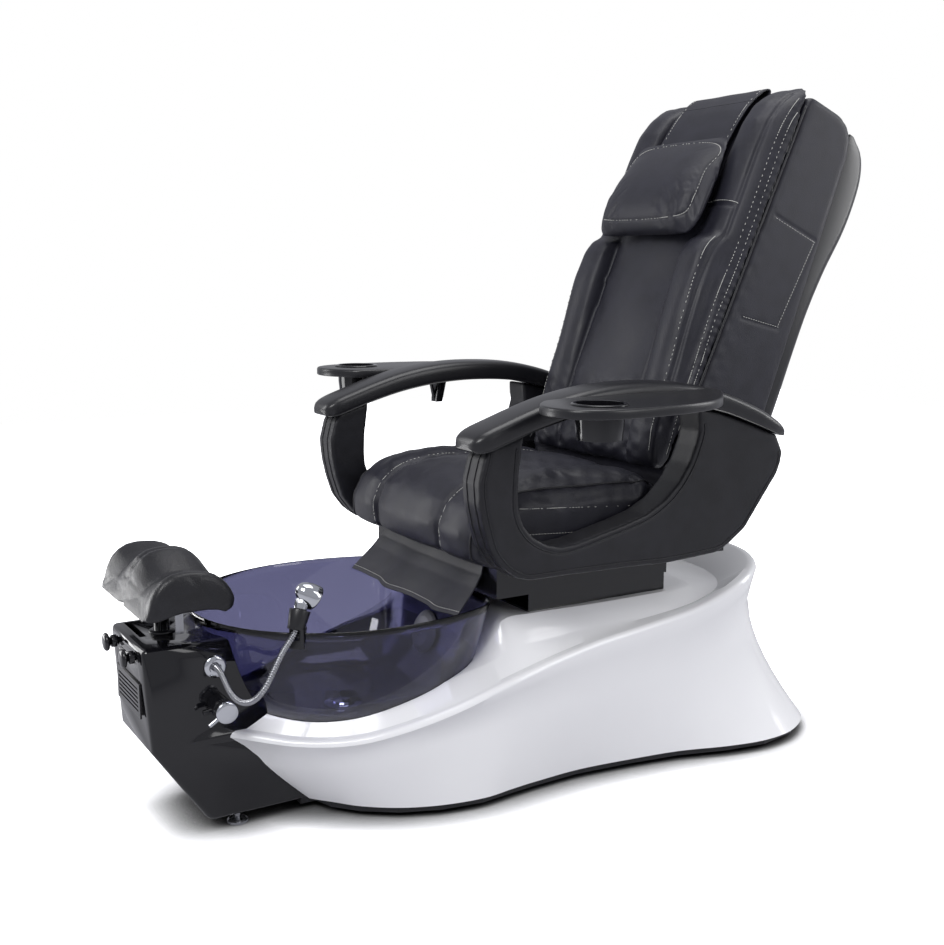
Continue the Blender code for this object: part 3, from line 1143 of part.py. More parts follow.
# ---------------------------------------------------------------- seat
def make_seat_frame():
    """Steel pan under the cushion with its runners, and the side plates with their pins."""
    low, top = SEAT_FRAME_LOW_Z, SEAT_FRAME_TOP_Z
    front_y, rear_y = -0.100, 0.300
    half = SEAT_HALF_WIDTH - 0.015
    frame = box("seat_frame", (-half, front_y, low), (half, rear_y, top), "black_steel", "seat")
    hollow = box("pan_hollow", (0.015 - half, front_y + 0.015, low - 0.02),
        (half - 0.015, rear_y - 0.015, top - 0.006))
    cut(frame, hollow)
    parts = []
    for side in (-1, 1):
        x_low, x_high = sorted((side * 0.150, side * 0.166))
        parts.append(box("runner", (x_low, 0.030, RAIL_LOW_Z + RAIL_WALL + CLEARANCE),
            (x_high, 0.280, top - 0.003)))
        x_low, x_high = sorted((side * SIDE_PLATE_INNER_X, side * SIDE_PLATE_OUTER_X))
        parts.append(box("side_plate", (x_low, rear_y - 0.012, low + 0.032), (x_high, 0.432, 0.592)))
        parts.append(cylinder("arm_pin", (side * (SIDE_PLATE_INNER_X + 0.004), ARM_PIVOT_Y, ARM_PIVOT_Z),
                              (side * (PANEL_INNER_X + ARM_PIN_REACH), ARM_PIVOT_Y, ARM_PIVOT_Z),
                              ARM_PIN_RADIUS))
        parts.append(cylinder("back_pin", (side * (SIDE_PLATE_INNER_X + 0.006), BACK_PIVOT_Y, BACK_PIVOT_Z),
                              (side * (BACK_FRAME_HALF_WIDTH - 0.015), BACK_PIVOT_Y, BACK_PIVOT_Z),
                              BACK_PIN_RADIUS))
    parts.append(box("cross_block", (-SIDE_PLATE_OUTER_X + 0.004, rear_y - 0.010, low + 0.033),
                     (SIDE_PLATE_OUTER_X - 0.004, 0.326, top - 0.0005)))
    parts.append(box("slide_lug", (SLIDE_ROD_X - 0.010, SEAT_LUG_Y, SLIDE_ROD_Z - 0.008),
        (SLIDE_ROD_X + 0.010, SEAT_LUG_Y + 0.010, top - 0.003)))
    parts.append(box("actuator_anchor", (-0.016, -0.088, 0.400),
        (0.016, ACTUATOR_START_Y - CLEARANCE, top - 0.003)))
    for index, part in enumerate(parts):
        part.name = "seat_frame_piece_" + str(index + 1)
        join(frame, part)
    cut(frame, box("rod_notch", (-0.030, 0.262, 0.396), (0.030, 0.345, 0.4600)))


BACK_PIN_RADIUS = 0.010
ACTUATOR_START_Y = -0.050
RECLINE_ROD_RADIUS = 0.009


def make_recline_actuator():
    """Electric cylinder in the seat pan; its rod's fork takes the back's lever."""
    z = BACK_PIVOT_Z - RECLINE_LEVER
    bore = RECLINE_ROD_RADIUS + SLIDE_FIT
    turned(
        "recline_actuator",
        [(bore, 0.225), (0.0180, 0.225), (0.0180, ACTUATOR_START_Y), (0.0, ACTUATOR_START_Y),
         (0.0, ACTUATOR_START_Y + 0.010), (bore, ACTUATOR_START_Y + 0.010)],
        (0, 0, z), (0, 1, 0), "steel", "seat",
    )
    rod = cylinder("recline_rod", (0, 0.010, z), (0, 0.322, z), RECLINE_ROD_RADIUS, "chrome", "recline_rod")
    block = box("fork_block", (-0.0140, 0.317, z - 0.013), (0.0140, 0.3285, z + 0.013))
    ears = [box("fork_ear", (low, 0.326, z - 0.0145),
        (low + 0.0058, 0.3600, z + 0.0145)) for low in (0.0080, -0.0138)]
    for index, piece in enumerate([block, *ears]):
        piece.name = "fork_piece_" + str(index + 1)
        join(rod, piece)
    cut(rod, cylinder("fork_slot", (-0.03, BACK_PIVOT_Y, z), (0.03, BACK_PIVOT_Y, z), 0.0105))


def make_seat_cushion():
    """Cushion with a front roll, two sewn channels and drawn-in sides."""
    outline = smooth_closed(SEAT_OUTLINE, 24)
    ahead, behind = np.roll(outline, -1, 0), np.roll(outline, 1, 0)
    tangent = ahead - behind
    tangent /= np.linalg.norm(tangent, axis=1)[:, None]
    normal = np.column_stack([tangent[:, 1], -tangent[:, 0]])
    middle = outline.mean(axis=0)
    if np.sum((outline - middle) * normal) < 0:
        normal = -normal
    free = np.clip((outline[:, 1] - 0.452) / 0.030, 0, 1)[:, None]
    half = SEAT_HALF_WIDTH
    seam = SEAT_SEAM_X
    # distance from the middle, how far the skin stands out there
    swell = [(0.0, 0.006), (0.075, 0.004), (seam - 0.010, -0.002), (seam, -0.009),
             (seam + 0.010, -0.001), (seam + 0.035, 0.005), (half - 0.040, 0.001),
             (half - 0.014, -0.008), (half - 0.004, -0.018), (half, -0.030)]
    rings = []
    for x, amount in swell:
        ring = outline + normal * amount * free
        rings.append(np.column_stack([np.full(len(ring), x), ring]))
    left = [ring * (-1, 1, 1) for ring in reversed(rings[1:])]
    loft("seat_cushion", [*left, *rings], "leather", "seat")


def make_apron():
    """Leather flap that hangs from the seat's front edge into the basin, with soft folds."""
    half, top_y = 0.200, -0.1023
    across = np.linspace(-half, half, 19)
    drop = np.array([0.0, 0.02, 0.042, 0.065, 0.088])
    forward = np.array([0.0, -0.008, -0.026, -0.049, -0.071])
    top_z = 0.4440
    rows = []
    for down, ahead in zip(drop, forward):
        wave = 0.0055 * np.sin(across / half * 7.0) + 0.002 * np.cos(across / half * 13.0)
        fold = wave * (down / 0.088)
        y = top_y + ahead + fold
        z = top_z - down + 0.004 * (across / half) ** 2
        z = np.minimum(z, top_z)
        rows.append(np.column_stack([across, y, z]))
    bm = bmesh.new()
    verts = [[bm.verts.new(point) for point in row] for row in rows]
    for row, after in zip(verts[:-1], verts[1:]):
        for j in range(len(row) - 1):
            bm.faces.new((row[j], row[j + 1], after[j + 1], after[j]))
    bm.normal_update()
    if bm.faces[:][0].normal.y > 0:
        bmesh.ops.reverse_faces(bm, faces=bm.faces)
    mesh = bpy.data.meshes.new("seat_apron")
    bm.to_mesh(mesh)
    bm.free()
    mesh.shade_smooth()
    apron = register(bpy.data.objects.new("seat_apron", mesh), "leather", "seat")
    cloth = apron.modifiers.new("leather", "SOLIDIFY")
    cloth.thickness = 0.004
    cloth.offset = 0.0


# ---------------------------------------------------------------- backrest
def back_seam(u):
    """Where the seam between front pad and body lies, towards the front."""
    return 0.0950 - 0.0640 * u


def to_back(obj):
    """Stands a piece built as (across, up the back, towards its front) in its place."""
    columns = (Vector((1, 0, 0)), BACK_UP, -BACK_REARWARD)
    turn = Matrix(columns).transposed().to_4x4()
    obj.data.transform(Matrix.Translation(Vector((0, BACK_PIVOT_Y, BACK_PIVOT_Z))) @ turn)
    return obj


def half_section(points):
    """A closed ring from the points of its right half, front middle first."""
    points = np.array(points, float)
    left = points[::-1][:-1] if points[0][0] == 0 else points[::-1]
    left = left[1:] if points[-1][0] == 0 else left
    return np.vstack([points, left * (-1, 1)])


def back_loft(name, rings, finish=None, body=None):
    """A loft of (across, towards the front) rings at heights up the back."""
    shaped = [np.column_stack([ring[:, 0], np.full(len(ring), height), ring[:, 1]]) for height,
        ring in rings]
    return to_back(loft(name, shaped, finish, body))


def make_back_pad():
    """Front upholstery: middle panel, wings beside it up to the shoulders, bolsters, seams."""
    rings = []
    for height, width, middle, wing, bolster in BACK_PAD_SHAPE:
        rear = back_seam(height)
        seam = max(min(middle, wing) - 0.018, rear + 0.001)
        half = BACK_HALF_WIDTH
        section = half_section([
            (0.0, middle), (0.055, middle - 0.0005), (0.096, middle - 0.004),
            (0.112, max(middle - 0.011, rear + 0.001)), (BACK_SEAM_X, seam),
            (0.128, max(wing - 0.009, rear + 0.001)),
            (0.150, wing - 0.001), (0.180, wing), (0.197, max(wing - 0.006, rear + 0.001)),
            (0.208, (wing + bolster) / 2), (0.217, bolster), (0.232, (2 * bolster + rear) / 3),
            (0.241, (bolster + 2 * rear) / 3), (half, rear + 0.0005), (half - 0.002, rear),
            (0.160, rear), (0.080, rear), (0.0, rear),
        ])
        section[:, 0] *= width
        rings.append((height, section))
    back_loft("back_pad", rings, "leather", "back")


def make_back_body():
    """Upholstered ring between the front pad and the rear shell; the massage gear runs in it."""
    low, high, rear = BACK_BODY_LOW, BACK_BODY_HIGH, -BACK_BODY_REAR
    outline = [
        (low, 0.060), (0.060, 0.070), (0.0800, 0.0745), (0.0900, back_seam(0.0900) - 0.0010),
        (high, back_seam(high) - 0.0010), (high, rear + 0.055), (high - 0.010, rear + 0.028),
        (high - 0.028, rear + 0.010), (high - 0.065, rear), (0.160, rear), (0.080, rear + 0.020),
        (low, rear + 0.055),
    ]
    half = BACK_HALF_WIDTH
    body = to_back(plate("back_body", [outline], -half, half, "X", "leather", "back"))
    bevel(body, 0.008, 2)
    room = BACK_FRAME_HALF_WIDTH + 0.0015
    foot_room = to_back(box("frame_room", (-room, 0.0, -0.040), (room, 0.0605, 0.0205)))
    cut(body, foot_room)
    cavity = BACK_CAVITY_HALF_WIDTH
    cut(body, to_back(box("body_cavity", (-cavity, 0.150, -0.2), (cavity, 0.800, 0.2))))
    for side in (-1, 1):
        low_x, high_x = sorted((side * 0.1645, side * 0.1855))
        way = to_back(box("upright_way", (low_x, 0.05, -0.0165), (high_x, 0.20, 0.0165)))
        way.name = "upright_way_left" if side > 0 else "upright_way_right"
        cut(body, way)


def make_back_shell():
    """Moulded cover over the back's rear, hollow towards the front."""
    front = -BACK_BODY_REAR - CLEARANCE

    def rings(inset, front_at):
        result = []
        for height, depth in BACK_SHELL_DEPTHS:
            if height in (BACK_SHELL_LOW, BACK_SHELL_HIGH):
                height += inset if height == BACK_SHELL_LOW else -inset
            half = BACK_SHELL_HALF_WIDTH - inset
            back = -(depth - inset)
            round_off = min(0.040, 0.8 * (front - back))
            ring = half_section([
                (0.0, front_at), (half, front_at), (half, back + round_off),
                (half - 0.45 * round_off, back + 0.36 * round_off),
                (half - 1.6 * round_off, back + 0.05 * round_off), (half * 0.45, back), (0.0, back),
            ])
            result.append((height, ring))
        return result

    shell = back_loft("back_shell", rings(0.0, front), "black_satin", "back")
    cut(shell, back_loft("shell_hollow", rings(0.004, front + 0.020)))


def make_back_frame():
    """Steel frame in the back: hinge lugs, cross bars, two uprights and the recline lever."""
    depth = 0.018
    half = BACK_FRAME_HALF_WIDTH
    frame = to_back(box("back_frame", (-half, 0.028, -depth), (half, 0.058, depth), "black_steel", "back"))
    parts = []
    for side in (-1, 1):
        low, high = sorted((side * (half - 0.012), side * half))
        parts.append(to_back(box("hinge_lug", (low, -0.018, -depth + 0.001), (high, 0.050, depth - 0.001))))
        low, high = sorted((side * 0.1650, side * 0.1850))
        parts.append(to_back(box("upright", (low, 0.040, -depth + 0.002), (high, 0.790, depth - 0.002))))
    for height in (0.165, 0.762):
        parts.append(to_back(box("cross_bar", (-0.180, height, -0.010), (0.180, height + 0.020, 0.010))))
    tip_z = BACK_PIVOT_Z - RECLINE_LEVER
    lever = [(BACK_PIVOT_Y - 0.0075, tip_z - 0.008), (BACK_PIVOT_Y + 0.0075, tip_z - 0.008),
        (BACK_PIVOT_Y + 0.016, BACK_PIVOT_Z),
             (0.378, 0.520), (0.352, 0.524), (BACK_PIVOT_Y - 0.010, BACK_PIVOT_Z)]
    parts.append(plate("lever", [lever], -0.0060, 0.0060, "X"))
    parts.append(cylinder("lever_pin", (-0.0165, BACK_PIVOT_Y, tip_z), (0.0165, BACK_PIVOT_Y, tip_z),
        0.0040))
    for index, part in enumerate(parts):
        part.name = "back_frame_piece_" + str(index + 1)
        join(frame, part)
    for name, side in (("left", 1), ("right", -1)):
        start = (side * (half - 0.027), BACK_PIVOT_Y, BACK_PIVOT_Z)
        end = (side * (half + 0.013), BACK_PIVOT_Y, BACK_PIVOT_Z)
        cut(frame, cylinder("pivot_bore_" + name, start, end, BACK_PIN_RADIUS + SLIDE_FIT))


def make_massage_gear():
    """Carriage that runs between the back's uprights, and the roller shaft that it carries."""
    middle = CARRIAGE_U
    carriage = to_back(box("massage_carriage", (-0.150, middle - 0.045, -0.030),
        (0.150, middle + 0.045, -0.004), "black_satin", "carriage"))
    parts = []
    for side in (-1, 1):
        low, high = sorted((side * 0.1460, side * (0.1650 - CLEARANCE)))
        parts.append(to_back(box("shoe", (low, middle - 0.040, -0.015), (high, middle + 0.040, 0.015))))
        low, high = sorted((side * 0.1120, side * 0.1220))
        parts.append(to_back(box("ear", (low, middle - 0.014, -0.010), (high, middle + 0.014, 0.034))))
    for index, part in enumerate(parts):
        part.name = "carriage_piece_" + str(index + 1)
        join(carriage, part)
    axis_f = ROLLER_AXIS_F
    left, right = Vector(back_point(middle, -axis_f, 0.140)), Vector(back_point(middle, -axis_f, -0.140))
    bore = cylinder("shaft_bore", left, right, 0.0055 + SLIDE_FIT)
    cut(carriage, bore)
    left, right = Vector(back_point(middle, -axis_f, 0.128)), Vector(back_point(middle, -axis_f, -0.128))
    shaft = cylinder("massage_rollers", left, right, 0.0055, "grey_plastic", "rollers")
    for index, x in enumerate((-0.085, -0.035, 0.035, 0.085)):
        a, b = Vector(back_point(middle, -axis_f, x - 0.012)), Vector(back_point(middle, -axis_f,
            x + 0.012))
        join(shaft, cylinder("roller_" + str(index + 1), a, b, 0.0230, sides=12))


def back_strip(name, route, samples, body):
    """A leather strip over the back that follows a route of (u, towards the front)."""
    route = smooth_curve(route, samples)
    tangent = np.gradient(route, axis=0)
    tangent /= np.linalg.norm(tangent, axis=1)[:, None]
    normal = np.column_stack([-tangent[:, 1], tangent[:, 0]]) * STRAP_THICKNESS / 2
    outline = np.vstack([route + normal, (route - normal)[::-1]])
    half = STRAP_HALF_WIDTH
    rings = [np.column_stack([np.full(len(outline), x), outline]) for x in (-half, 0.0, half)]
    return to_back(loft(name, rings, "leather", body))


def make_pillow():
    """Head pillow, the flap that it hangs on, and the strap fixed over the back's top."""
    rings = []
    for height, width, rear, front in PILLOW_SHAPE:
        depth, half = front - rear, PILLOW_HALF_WIDTH
        section = half_section([
            (0.0, front), (0.055, front - 0.01 * depth), (0.100, front - 0.08 * depth),
            (0.128, front - 0.22 * depth), (0.145, rear + 0.52 * depth), (half, rear + 0.28 * depth),
            (half - 0.004, rear + 0.08 * depth), (0.120, rear), (0.060, rear), (0.0, rear),
        ])
        section[:, 0] *= width
        rings.append((height, section))
    back_loft("head_pillow", rings, "leather", "pillow")
    back_strip("pillow_flap", FLAP_ROUTE, 8, "pillow")
    back_strip("pillow_strap", STRAP_ROUTE, 14, "back")


# ---------------------------------------------------------------- armrests
def arm_stations():
    return refined(ARM_LINE, 0)


def arm_underside(y):
    """The height of the moulded top's flat underside at a place along it."""
    rows = arm_stations()
    return np.interp(y, rows[:, 0], rows[:, 1] - rows[:, 2])


ARM_SECTION = [             # (across, up), both from -1 to 1
    (-0.86, -1.0), (0.86, -1.0), (0.97, -0.86), (1.0, -0.50), (1.0, 0.25), (0.93, 0.62), (0.70, 0.90),
    (0.0, 1.0), (-0.70, 0.90), (-0.93, 0.62), (-1.0, 0.25), (-1.0, -0.50), (-0.97, -0.86),
]


def make_arm(side, label):
    """One armrest: moulded top, upholstered panel with its loop, tray, cup and bracket."""
    arm_body, tray_body, cup_body = label + "_arm", label + "_tray", label + "_tray"
    section = np.array(ARM_SECTION)
    middle = (ARM_INNER_X + ARM_OUTER_X) / 2
    half = (ARM_OUTER_X - ARM_INNER_X) / 2
    rings = []
    for y, z, thick in arm_stations():
        taper = min(1.0, 0.62 + 0.38 * (thick - 0.008) / 0.0105)
        x = side * (middle + section[:, 0] * half * taper)
        rings.append(np.column_stack([x, np.full(len(x), y), z + section[:, 1] * thick]))
    loft(label + "_arm_top", rings, "black_satin", arm_body)

    def under(ys):
        return [(float(y), float(arm_underside(y)) - CLEARANCE) for y in ys]

    outer, loop = list(PANEL_OUTER), list(PANEL_LOOP)
    post_top = under(np.linspace(loop[-1][0], outer[0][0], 5))
    rear_top = under(np.linspace(outer[-1][0], loop[0][0], 12))
    outline = outer[1:-1] + rear_top + loop[1:-1] + post_top
    x_low, x_high = sorted((side * PANEL_INNER_X, side * PANEL_OUTER_X))
    panel = plate(label + "_arm_panel", [outline], x_low, x_high, "X", "panel_vinyl", arm_body)
    bevel(panel, 0.004, 1, 50)
    bore_low, bore_high = side * (PANEL_INNER_X - 0.02), side * (PANEL_INNER_X + ARM_PIN_REACH + 0.0006)
    cut(panel, cylinder(label + "_pin_bore", (bore_low, ARM_PIVOT_Y, ARM_PIVOT_Z),
        (bore_high, ARM_PIVOT_Y, ARM_PIVOT_Z), ARM_PIN_RADIUS + SLIDE_FIT))
    make_tray(side, label, arm_body, tray_body, cup_body)


def make_tray(side, label, arm_body, tray_body, cup_body):
    low, high = TRAY_TOP_Z - TRAY_THICKNESS, TRAY_TOP_Z
    outline = [(side * (TRAY_INNER_X + x), y) for x, y in smooth_curve(TRAY_OUTLINE, 25)]
    cup = (side * CUP_X, CUP_Y)
    rings = []
    for height, inset in ((low, 0.0025), (low + 0.0025, 0.0), (high - 0.0040, 0.0),
                          (high - 0.0013, 0.0012), (high, 0.0042)):
        points = np.array(inset_outline(outline, inset)) if inset else np.array(outline)
        rings.append(np.column_stack([points, np.full(len(points), height)]))
    tray = loft(label + "_tray", rings, "black_satin", tray_body)
    cut(tray, cylinder(label + "_cup_hole", (*cup, low - 0.02), (*cup, high + 0.02), CUP_RADIUS + SLIDE_FIT,
        sides=24))
    ring, wall, foot = CUP_RING_RADIUS, 0.0022, CUP_RADIUS - 0.0035
    turned(
        label + "_cup_holder",
        [(CUP_RADIUS - wall, 0.0030), (ring - 0.002, 0.0028), (ring, 0.0004), (CUP_RADIUS, 0.0004),
         (CUP_RADIUS - 0.001, -0.034), (foot, -CUP_DEPTH), (0.0, -CUP_DEPTH),
         (0.0, -CUP_DEPTH + wall), (foot - wall, -CUP_DEPTH + wall),
         (CUP_RADIUS - 0.001 - wall, -0.034)],
        (*cup, high), (0, 0, 1), "black_gloss", cup_body, sides=22,
    )
    # stay under the arm: a flat plate, an arm out to the tray and a V below
    y_low, y_high = 0.060, 0.095
    under = float(min(arm_underside(y_low), arm_underside(y_high))) - CLEARANCE
    inner_x, reach_x = ARM_INNER_X + 0.030, CUP_X - 0.050
    tray_under = low - CLEARANCE
    thick = 0.0035
    outline = [(inner_x, under - thick), (ARM_OUTER_X + 0.0045, under - thick),
        (reach_x, tray_under - thick),
               (reach_x, tray_under), (ARM_OUTER_X + 0.0015, tray_under), (ARM_OUTER_X + 0.0015, under),
               (inner_x, under)]
    outline = [(side * x, z) for x, z in outline]
    bracket = plate(label + "_tray_bracket", [outline], y_low, y_high, "Y", "black_steel", arm_body)
    apex_z, bar = 0.692, 0.005
    x_low, x_high = sorted((side * (inner_x + 0.004), side * (inner_x + 0.028)))
    stay = [(y_high + 0.004, under - 0.001), (y_high - 0.006, apex_z), (y_high - 0.022, apex_z),
        (y_high - 0.016, under - 0.001)]
    wire = [(y_low + 0.004, under - 0.001), (y_high - 0.021, apex_z + 0.001),
        (y_high - 0.021 + bar, apex_z + 0.001), (y_low + 0.004 + bar, under - 0.001)]
    left = plate(label + "_stay", [stay], x_low, x_high, "X")
    right = plate(label + "_wire", [wire], x_low + 0.008, x_high - 0.008, "X")
    join(bracket, left, right)


def build_chair():
    basin_gap_cutter = basin_cutter("basin_gap", 0.0008)
    make_basin()
    make_drain()
    make_jet()
    make_shell(basin_gap_cutter)
    make_pan_and_feet()
    make_underframe()
    make_rail_box()
    make_slide_actuator()
    make_console(basin_gap_cutter)
    make_footrest()
    make_grille()
    make_knobs()
    make_mixer()
    make_hose_and_flange()
    make_spray()
    make_spray_holder()
    make_seat_frame()
    make_recline_actuator()
    make_seat_cushion()
    make_apron()
    make_back_pad()
    make_back_body()
    make_back_shell()
    make_back_frame()
    make_massage_gear()
    make_pillow()
    for side, label in ((1, "left"), (-1, "right")):
        make_arm(side, label)


build_chair()
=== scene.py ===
# %% [markdown]
# # Pedicure spa chair: the looks around a finished frame
#
# The chair's solids are already packed as a frame of named CAD nodes, and joints move them.
# This lesson dresses that frame. Rigid pieces are worked out again as finer surfaces or get a
# better material, and every cushion is sewn again as a padded form. All sizes are in metres,
# the floor is z = 0, the footrest points to -Y, and the sitter's left hand is on +X.

# %% Load the frame
import math

import bmesh
import bpy
import numpy as np
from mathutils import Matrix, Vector
from mathutils.bvhtree import BVHTree


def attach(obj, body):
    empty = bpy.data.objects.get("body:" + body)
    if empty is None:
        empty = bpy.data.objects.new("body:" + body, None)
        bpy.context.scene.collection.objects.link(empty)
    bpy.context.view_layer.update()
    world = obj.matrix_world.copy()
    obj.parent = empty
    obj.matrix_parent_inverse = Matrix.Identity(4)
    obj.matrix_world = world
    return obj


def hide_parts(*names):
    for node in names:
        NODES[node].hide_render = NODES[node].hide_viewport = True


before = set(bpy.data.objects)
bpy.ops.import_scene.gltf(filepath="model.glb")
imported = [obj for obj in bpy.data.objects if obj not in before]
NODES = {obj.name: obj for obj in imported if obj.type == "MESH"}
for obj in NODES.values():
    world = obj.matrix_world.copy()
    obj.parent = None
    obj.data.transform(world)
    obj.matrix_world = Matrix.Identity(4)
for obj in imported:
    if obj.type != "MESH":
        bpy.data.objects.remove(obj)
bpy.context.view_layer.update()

print("nodes", len(NODES))

# %% [markdown]
# ## The camera
#
# The photograph was taken from the chair's front left, a little above the seat. A camera
# looks along its own -Z, so two turns are enough: tip it up from straight down, then turn
# it round the vertical. The lens comes from the size that the chair has in the picture.

# %% Camera at the photograph's angle
AZIMUTH, ELEVATION = math.radians(59.024), math.radians(9.585)

camera_data = bpy.data.cameras.new("photo_camera")
camera_data.lens = 46.5
camera_data.sensor_width = 36.0
camera_data.clip_end = 60.0
camera = bpy.data.objects.new("photo_camera", camera_data)
camera.location = (2.0739, -1.3004, 0.9900)
camera.rotation_euler = (math.pi / 2 - ELEVATION, 0.0, AZIMUTH)
bpy.context.scene.collection.objects.link(camera)
bpy.context.scene.camera = camera
print("lens", camera_data.lens, "mm")

# %% [markdown]
# ## Colours and nodes
#
# A colour picked from a paint chart is an sRGB hex value, while shaders add light in linear
# values, so one function turns the first into the second. Another adds a node with its
# settings and links. Each finish below is then a few lines that read like a parts list.

# %% One function for colour and one for nodes
def linear(hex_colour, alpha=1.0):
    """sRGB hex to linear: c / 12.92 near black, ((c + 0.055) / 1.055) ** 2.4 above it."""
    value = np.array([int(hex_colour[i:i + 2], 16) for i in (1, 3, 5)]) / 255.0
    value = np.where(value <= 0.04045, value / 12.92, ((value + 0.055) / 1.055) ** 2.4)
    return (*value.tolist(), alpha)


def add(tree, kind, inputs=None, **settings):
    """Adds a node. An input is a socket to connect or a plain value, by name or by place."""
    made = tree.nodes.new(kind)
    for name, value in settings.items():
        setattr(made, name, value)
    for key, value in (inputs or {}).items():
        if isinstance(value, bpy.types.NodeSocket):
            tree.links.new(value, made.inputs[key])
        else:
            made.inputs[key].default_value = value
    return made


def finish(name, colour, roughness, **sockets):
    """A material with one Principled shader; returns it with its tree and shader."""
    made = bpy.data.materials.new(name)
    made.use_nodes = True
    shader = made.node_tree.nodes["Principled BSDF"]
    shader.inputs["Base Color"].default_value = linear(colour)
    shader.inputs["Roughness"].default_value = roughness
    for key, value in sockets.items():
        shader.inputs[key.replace("_", " ")].default_value = value
    made.diffuse_color = linear(colour)
    return made, made.node_tree, shader


def two_tones(tree, shader, factor, low, high):
    """Base colour that wanders between two hex colours as the factor does."""
    mix = add(tree, "ShaderNodeMix", {0: factor, 6: linear(low), 7: linear(high)}, data_type="RGBA")
    tree.links.new(mix.outputs[2], shader.inputs["Base Color"])


def stretch(tree, value, low, high, low_out=0.0, high_out=1.0):
    """Stretches a range of values to another one and clamps it."""
    inputs = {0: value, 1: low, 2: high, 3: low_out, 4: high_out}
    return add(tree, "ShaderNodeMapRange", inputs).outputs[0]


def noise(tree, where, scale, detail=2.0):
    """Cloudy noise with lumps of 1 / scale metres."""
    inputs = {"Vector": where, "Scale": scale, "Detail": detail}
    return add(tree, "ShaderNodeTexNoise", inputs).outputs["Fac"]


def raise_bumps(tree, shader, *layers):
    """Bump from (height, depth in metres) layers, one on top of the other."""
    normal = None
    for height, depth in layers:
        made = add(tree, "ShaderNodeBump", {"Height": height, "Distance": depth, "Strength": 1.0})
        if normal is not None:
            tree.links.new(normal, made.inputs["Normal"])
        normal = made.outputs["Normal"]
    tree.links.new(normal, shader.inputs["Normal"])


def place(tree):
    """Object coordinates, which are metres in the chair's frame."""
    return add(tree, "ShaderNodeTexCoord").outputs["Object"]

# %% [markdown]
# ## Leather, vinyl and foam
#
# The cushions are sewn from black artificial leather: woven backing under a polyurethane
# skin that is rolled with a grain. It is softly glossy, and the grain breaks the highlight
# up. The grain's cells are about 1.2 mm on the real one and are drawn at 2 mm, so that a
# picture of the whole chair still shows them. Slow noise lets its shade and shine wander.

# %% Soft finishes
def upholstery(name, low, high, roughness, grain=0.002, depth=0.00016):
    """Grained skin: cells of the grain's size, and slower lumps for its shade and shine."""
    made, tree, shader = finish(name, high, roughness, Specular_IOR_Level=0.36)
    where = place(tree)
    cells = add(tree, "ShaderNodeTexVoronoi", {"Vector": where, "Scale": 1 / grain})
    cells = cells.outputs["Distance"]
    lumps = noise(tree, where, 28.0, 3.0)
    two_tones(tree, shader, stretch(tree, lumps, 0.35, 0.65), low, high)
    raise_bumps(tree, shader, (cells, depth))
    tree.links.new(stretch(tree, lumps, 0.3, 0.7, roughness - 0.04, roughness + 0.05),
                   shader.inputs["Roughness"])
    return made


# Artificial leather: dark with a cool cast, satin, fine rolled grain.
LEATHER = upholstery("artificial_leather_black", "#1a1a22", "#202029", 0.46)
# Smooth vinyl on the armrest panels: flatter grain, a little darker.
VINYL = upholstery("smooth_vinyl_black", "#141418", "#19191e", 0.44, grain=0.003, depth=0.00008)
# Integral-skin polyurethane foam: moulded with a pebbled skin, dull.
FOAM = upholstery("integral_skin_foam", "#17171a", "#1e1e22", 0.36, grain=0.0026, depth=0.00030)

# Bonded polyester thread, light grey, slightly hairy and dull.
THREAD, tree, shader = finish("polyester_thread_grey", "#b9b9b4", 0.75)
two_tones(tree, shader, noise(tree, place(tree), 900.0), "#a2a29e", "#cacac5")
print("soft finishes", [made.name for made in (LEATHER, VINYL, FOAM, THREAD)])

# %% [markdown]
# ## Moulded plastics and gelcoat
#
# The base is glass fibre with a white gelcoat: a thick glossy skin over a slightly wavy
# laminate. The console is vacuum-formed black ABS with a gloss face, and the arm tops, trays
# and rear cover are injection moulded with a satin spark texture.

# %% Rigid plastic finishes
# Gelcoat: bright white, clear glossy skin, long shallow waves from the mould.
GELCOAT, tree, shader = finish("white_gelcoat", "#ececef", 0.14,
                               Coat_Weight=0.35, Coat_Roughness=0.05)
where = place(tree)
raise_bumps(tree, shader, (noise(tree, where, 9.0, 1.0), 0.0006),
            (noise(tree, where, 420.0), 0.00002))
two_tones(tree, shader, noise(tree, where, 5.0), "#e9e9eb", "#f0f0f1")


def moulded(name, low, high, roughness, spark=0.0009, depth=0.00003, **sockets):
    """Moulded plastic: a spark texture of tiny pits and a slow change of shade."""
    made, tree, shader = finish(name, high, roughness, **sockets)
    where = place(tree)
    two_tones(tree, shader, noise(tree, where, 14.0), low, high)
    raise_bumps(tree, shader, (noise(tree, where, 1 / spark), depth))
    return made


# Gloss ABS: black and mirror-like, with a faint orange peel.
ABS_GLOSS = moulded("abs_black_gloss", "#0e0e11", "#131317", 0.10, spark=0.006, depth=0.00002)
# Satin ABS: the same black with a fine texture that spreads the highlight.
ABS_SATIN = moulded("abs_black_satin", "#101013", "#16161a", 0.31, spark=0.0011, depth=0.00004)
# Grey ABS for the pump, pipe and jet parts.
ABS_GREY = moulded("abs_grey", "#55555c", "#64646b", 0.40)
print("rigid finishes", [made.name for made in (GELCOAT, ABS_GLOSS, ABS_SATIN, ABS_GREY)])

# %% [markdown]
# ## Metals
#
# Stainless steel is brushed along its length, steel frames are powder coated, and the taps
# are chrome on brass. A metal's colour is its reflection, so these stay nearly plain.

# %% Metal finishes
CHROME, tree, shader = finish("chrome_plating", "#c2c4c9", 0.06, Metallic=1.0)
raise_bumps(tree, shader, (noise(tree, place(tree), 130.0), 0.00001))
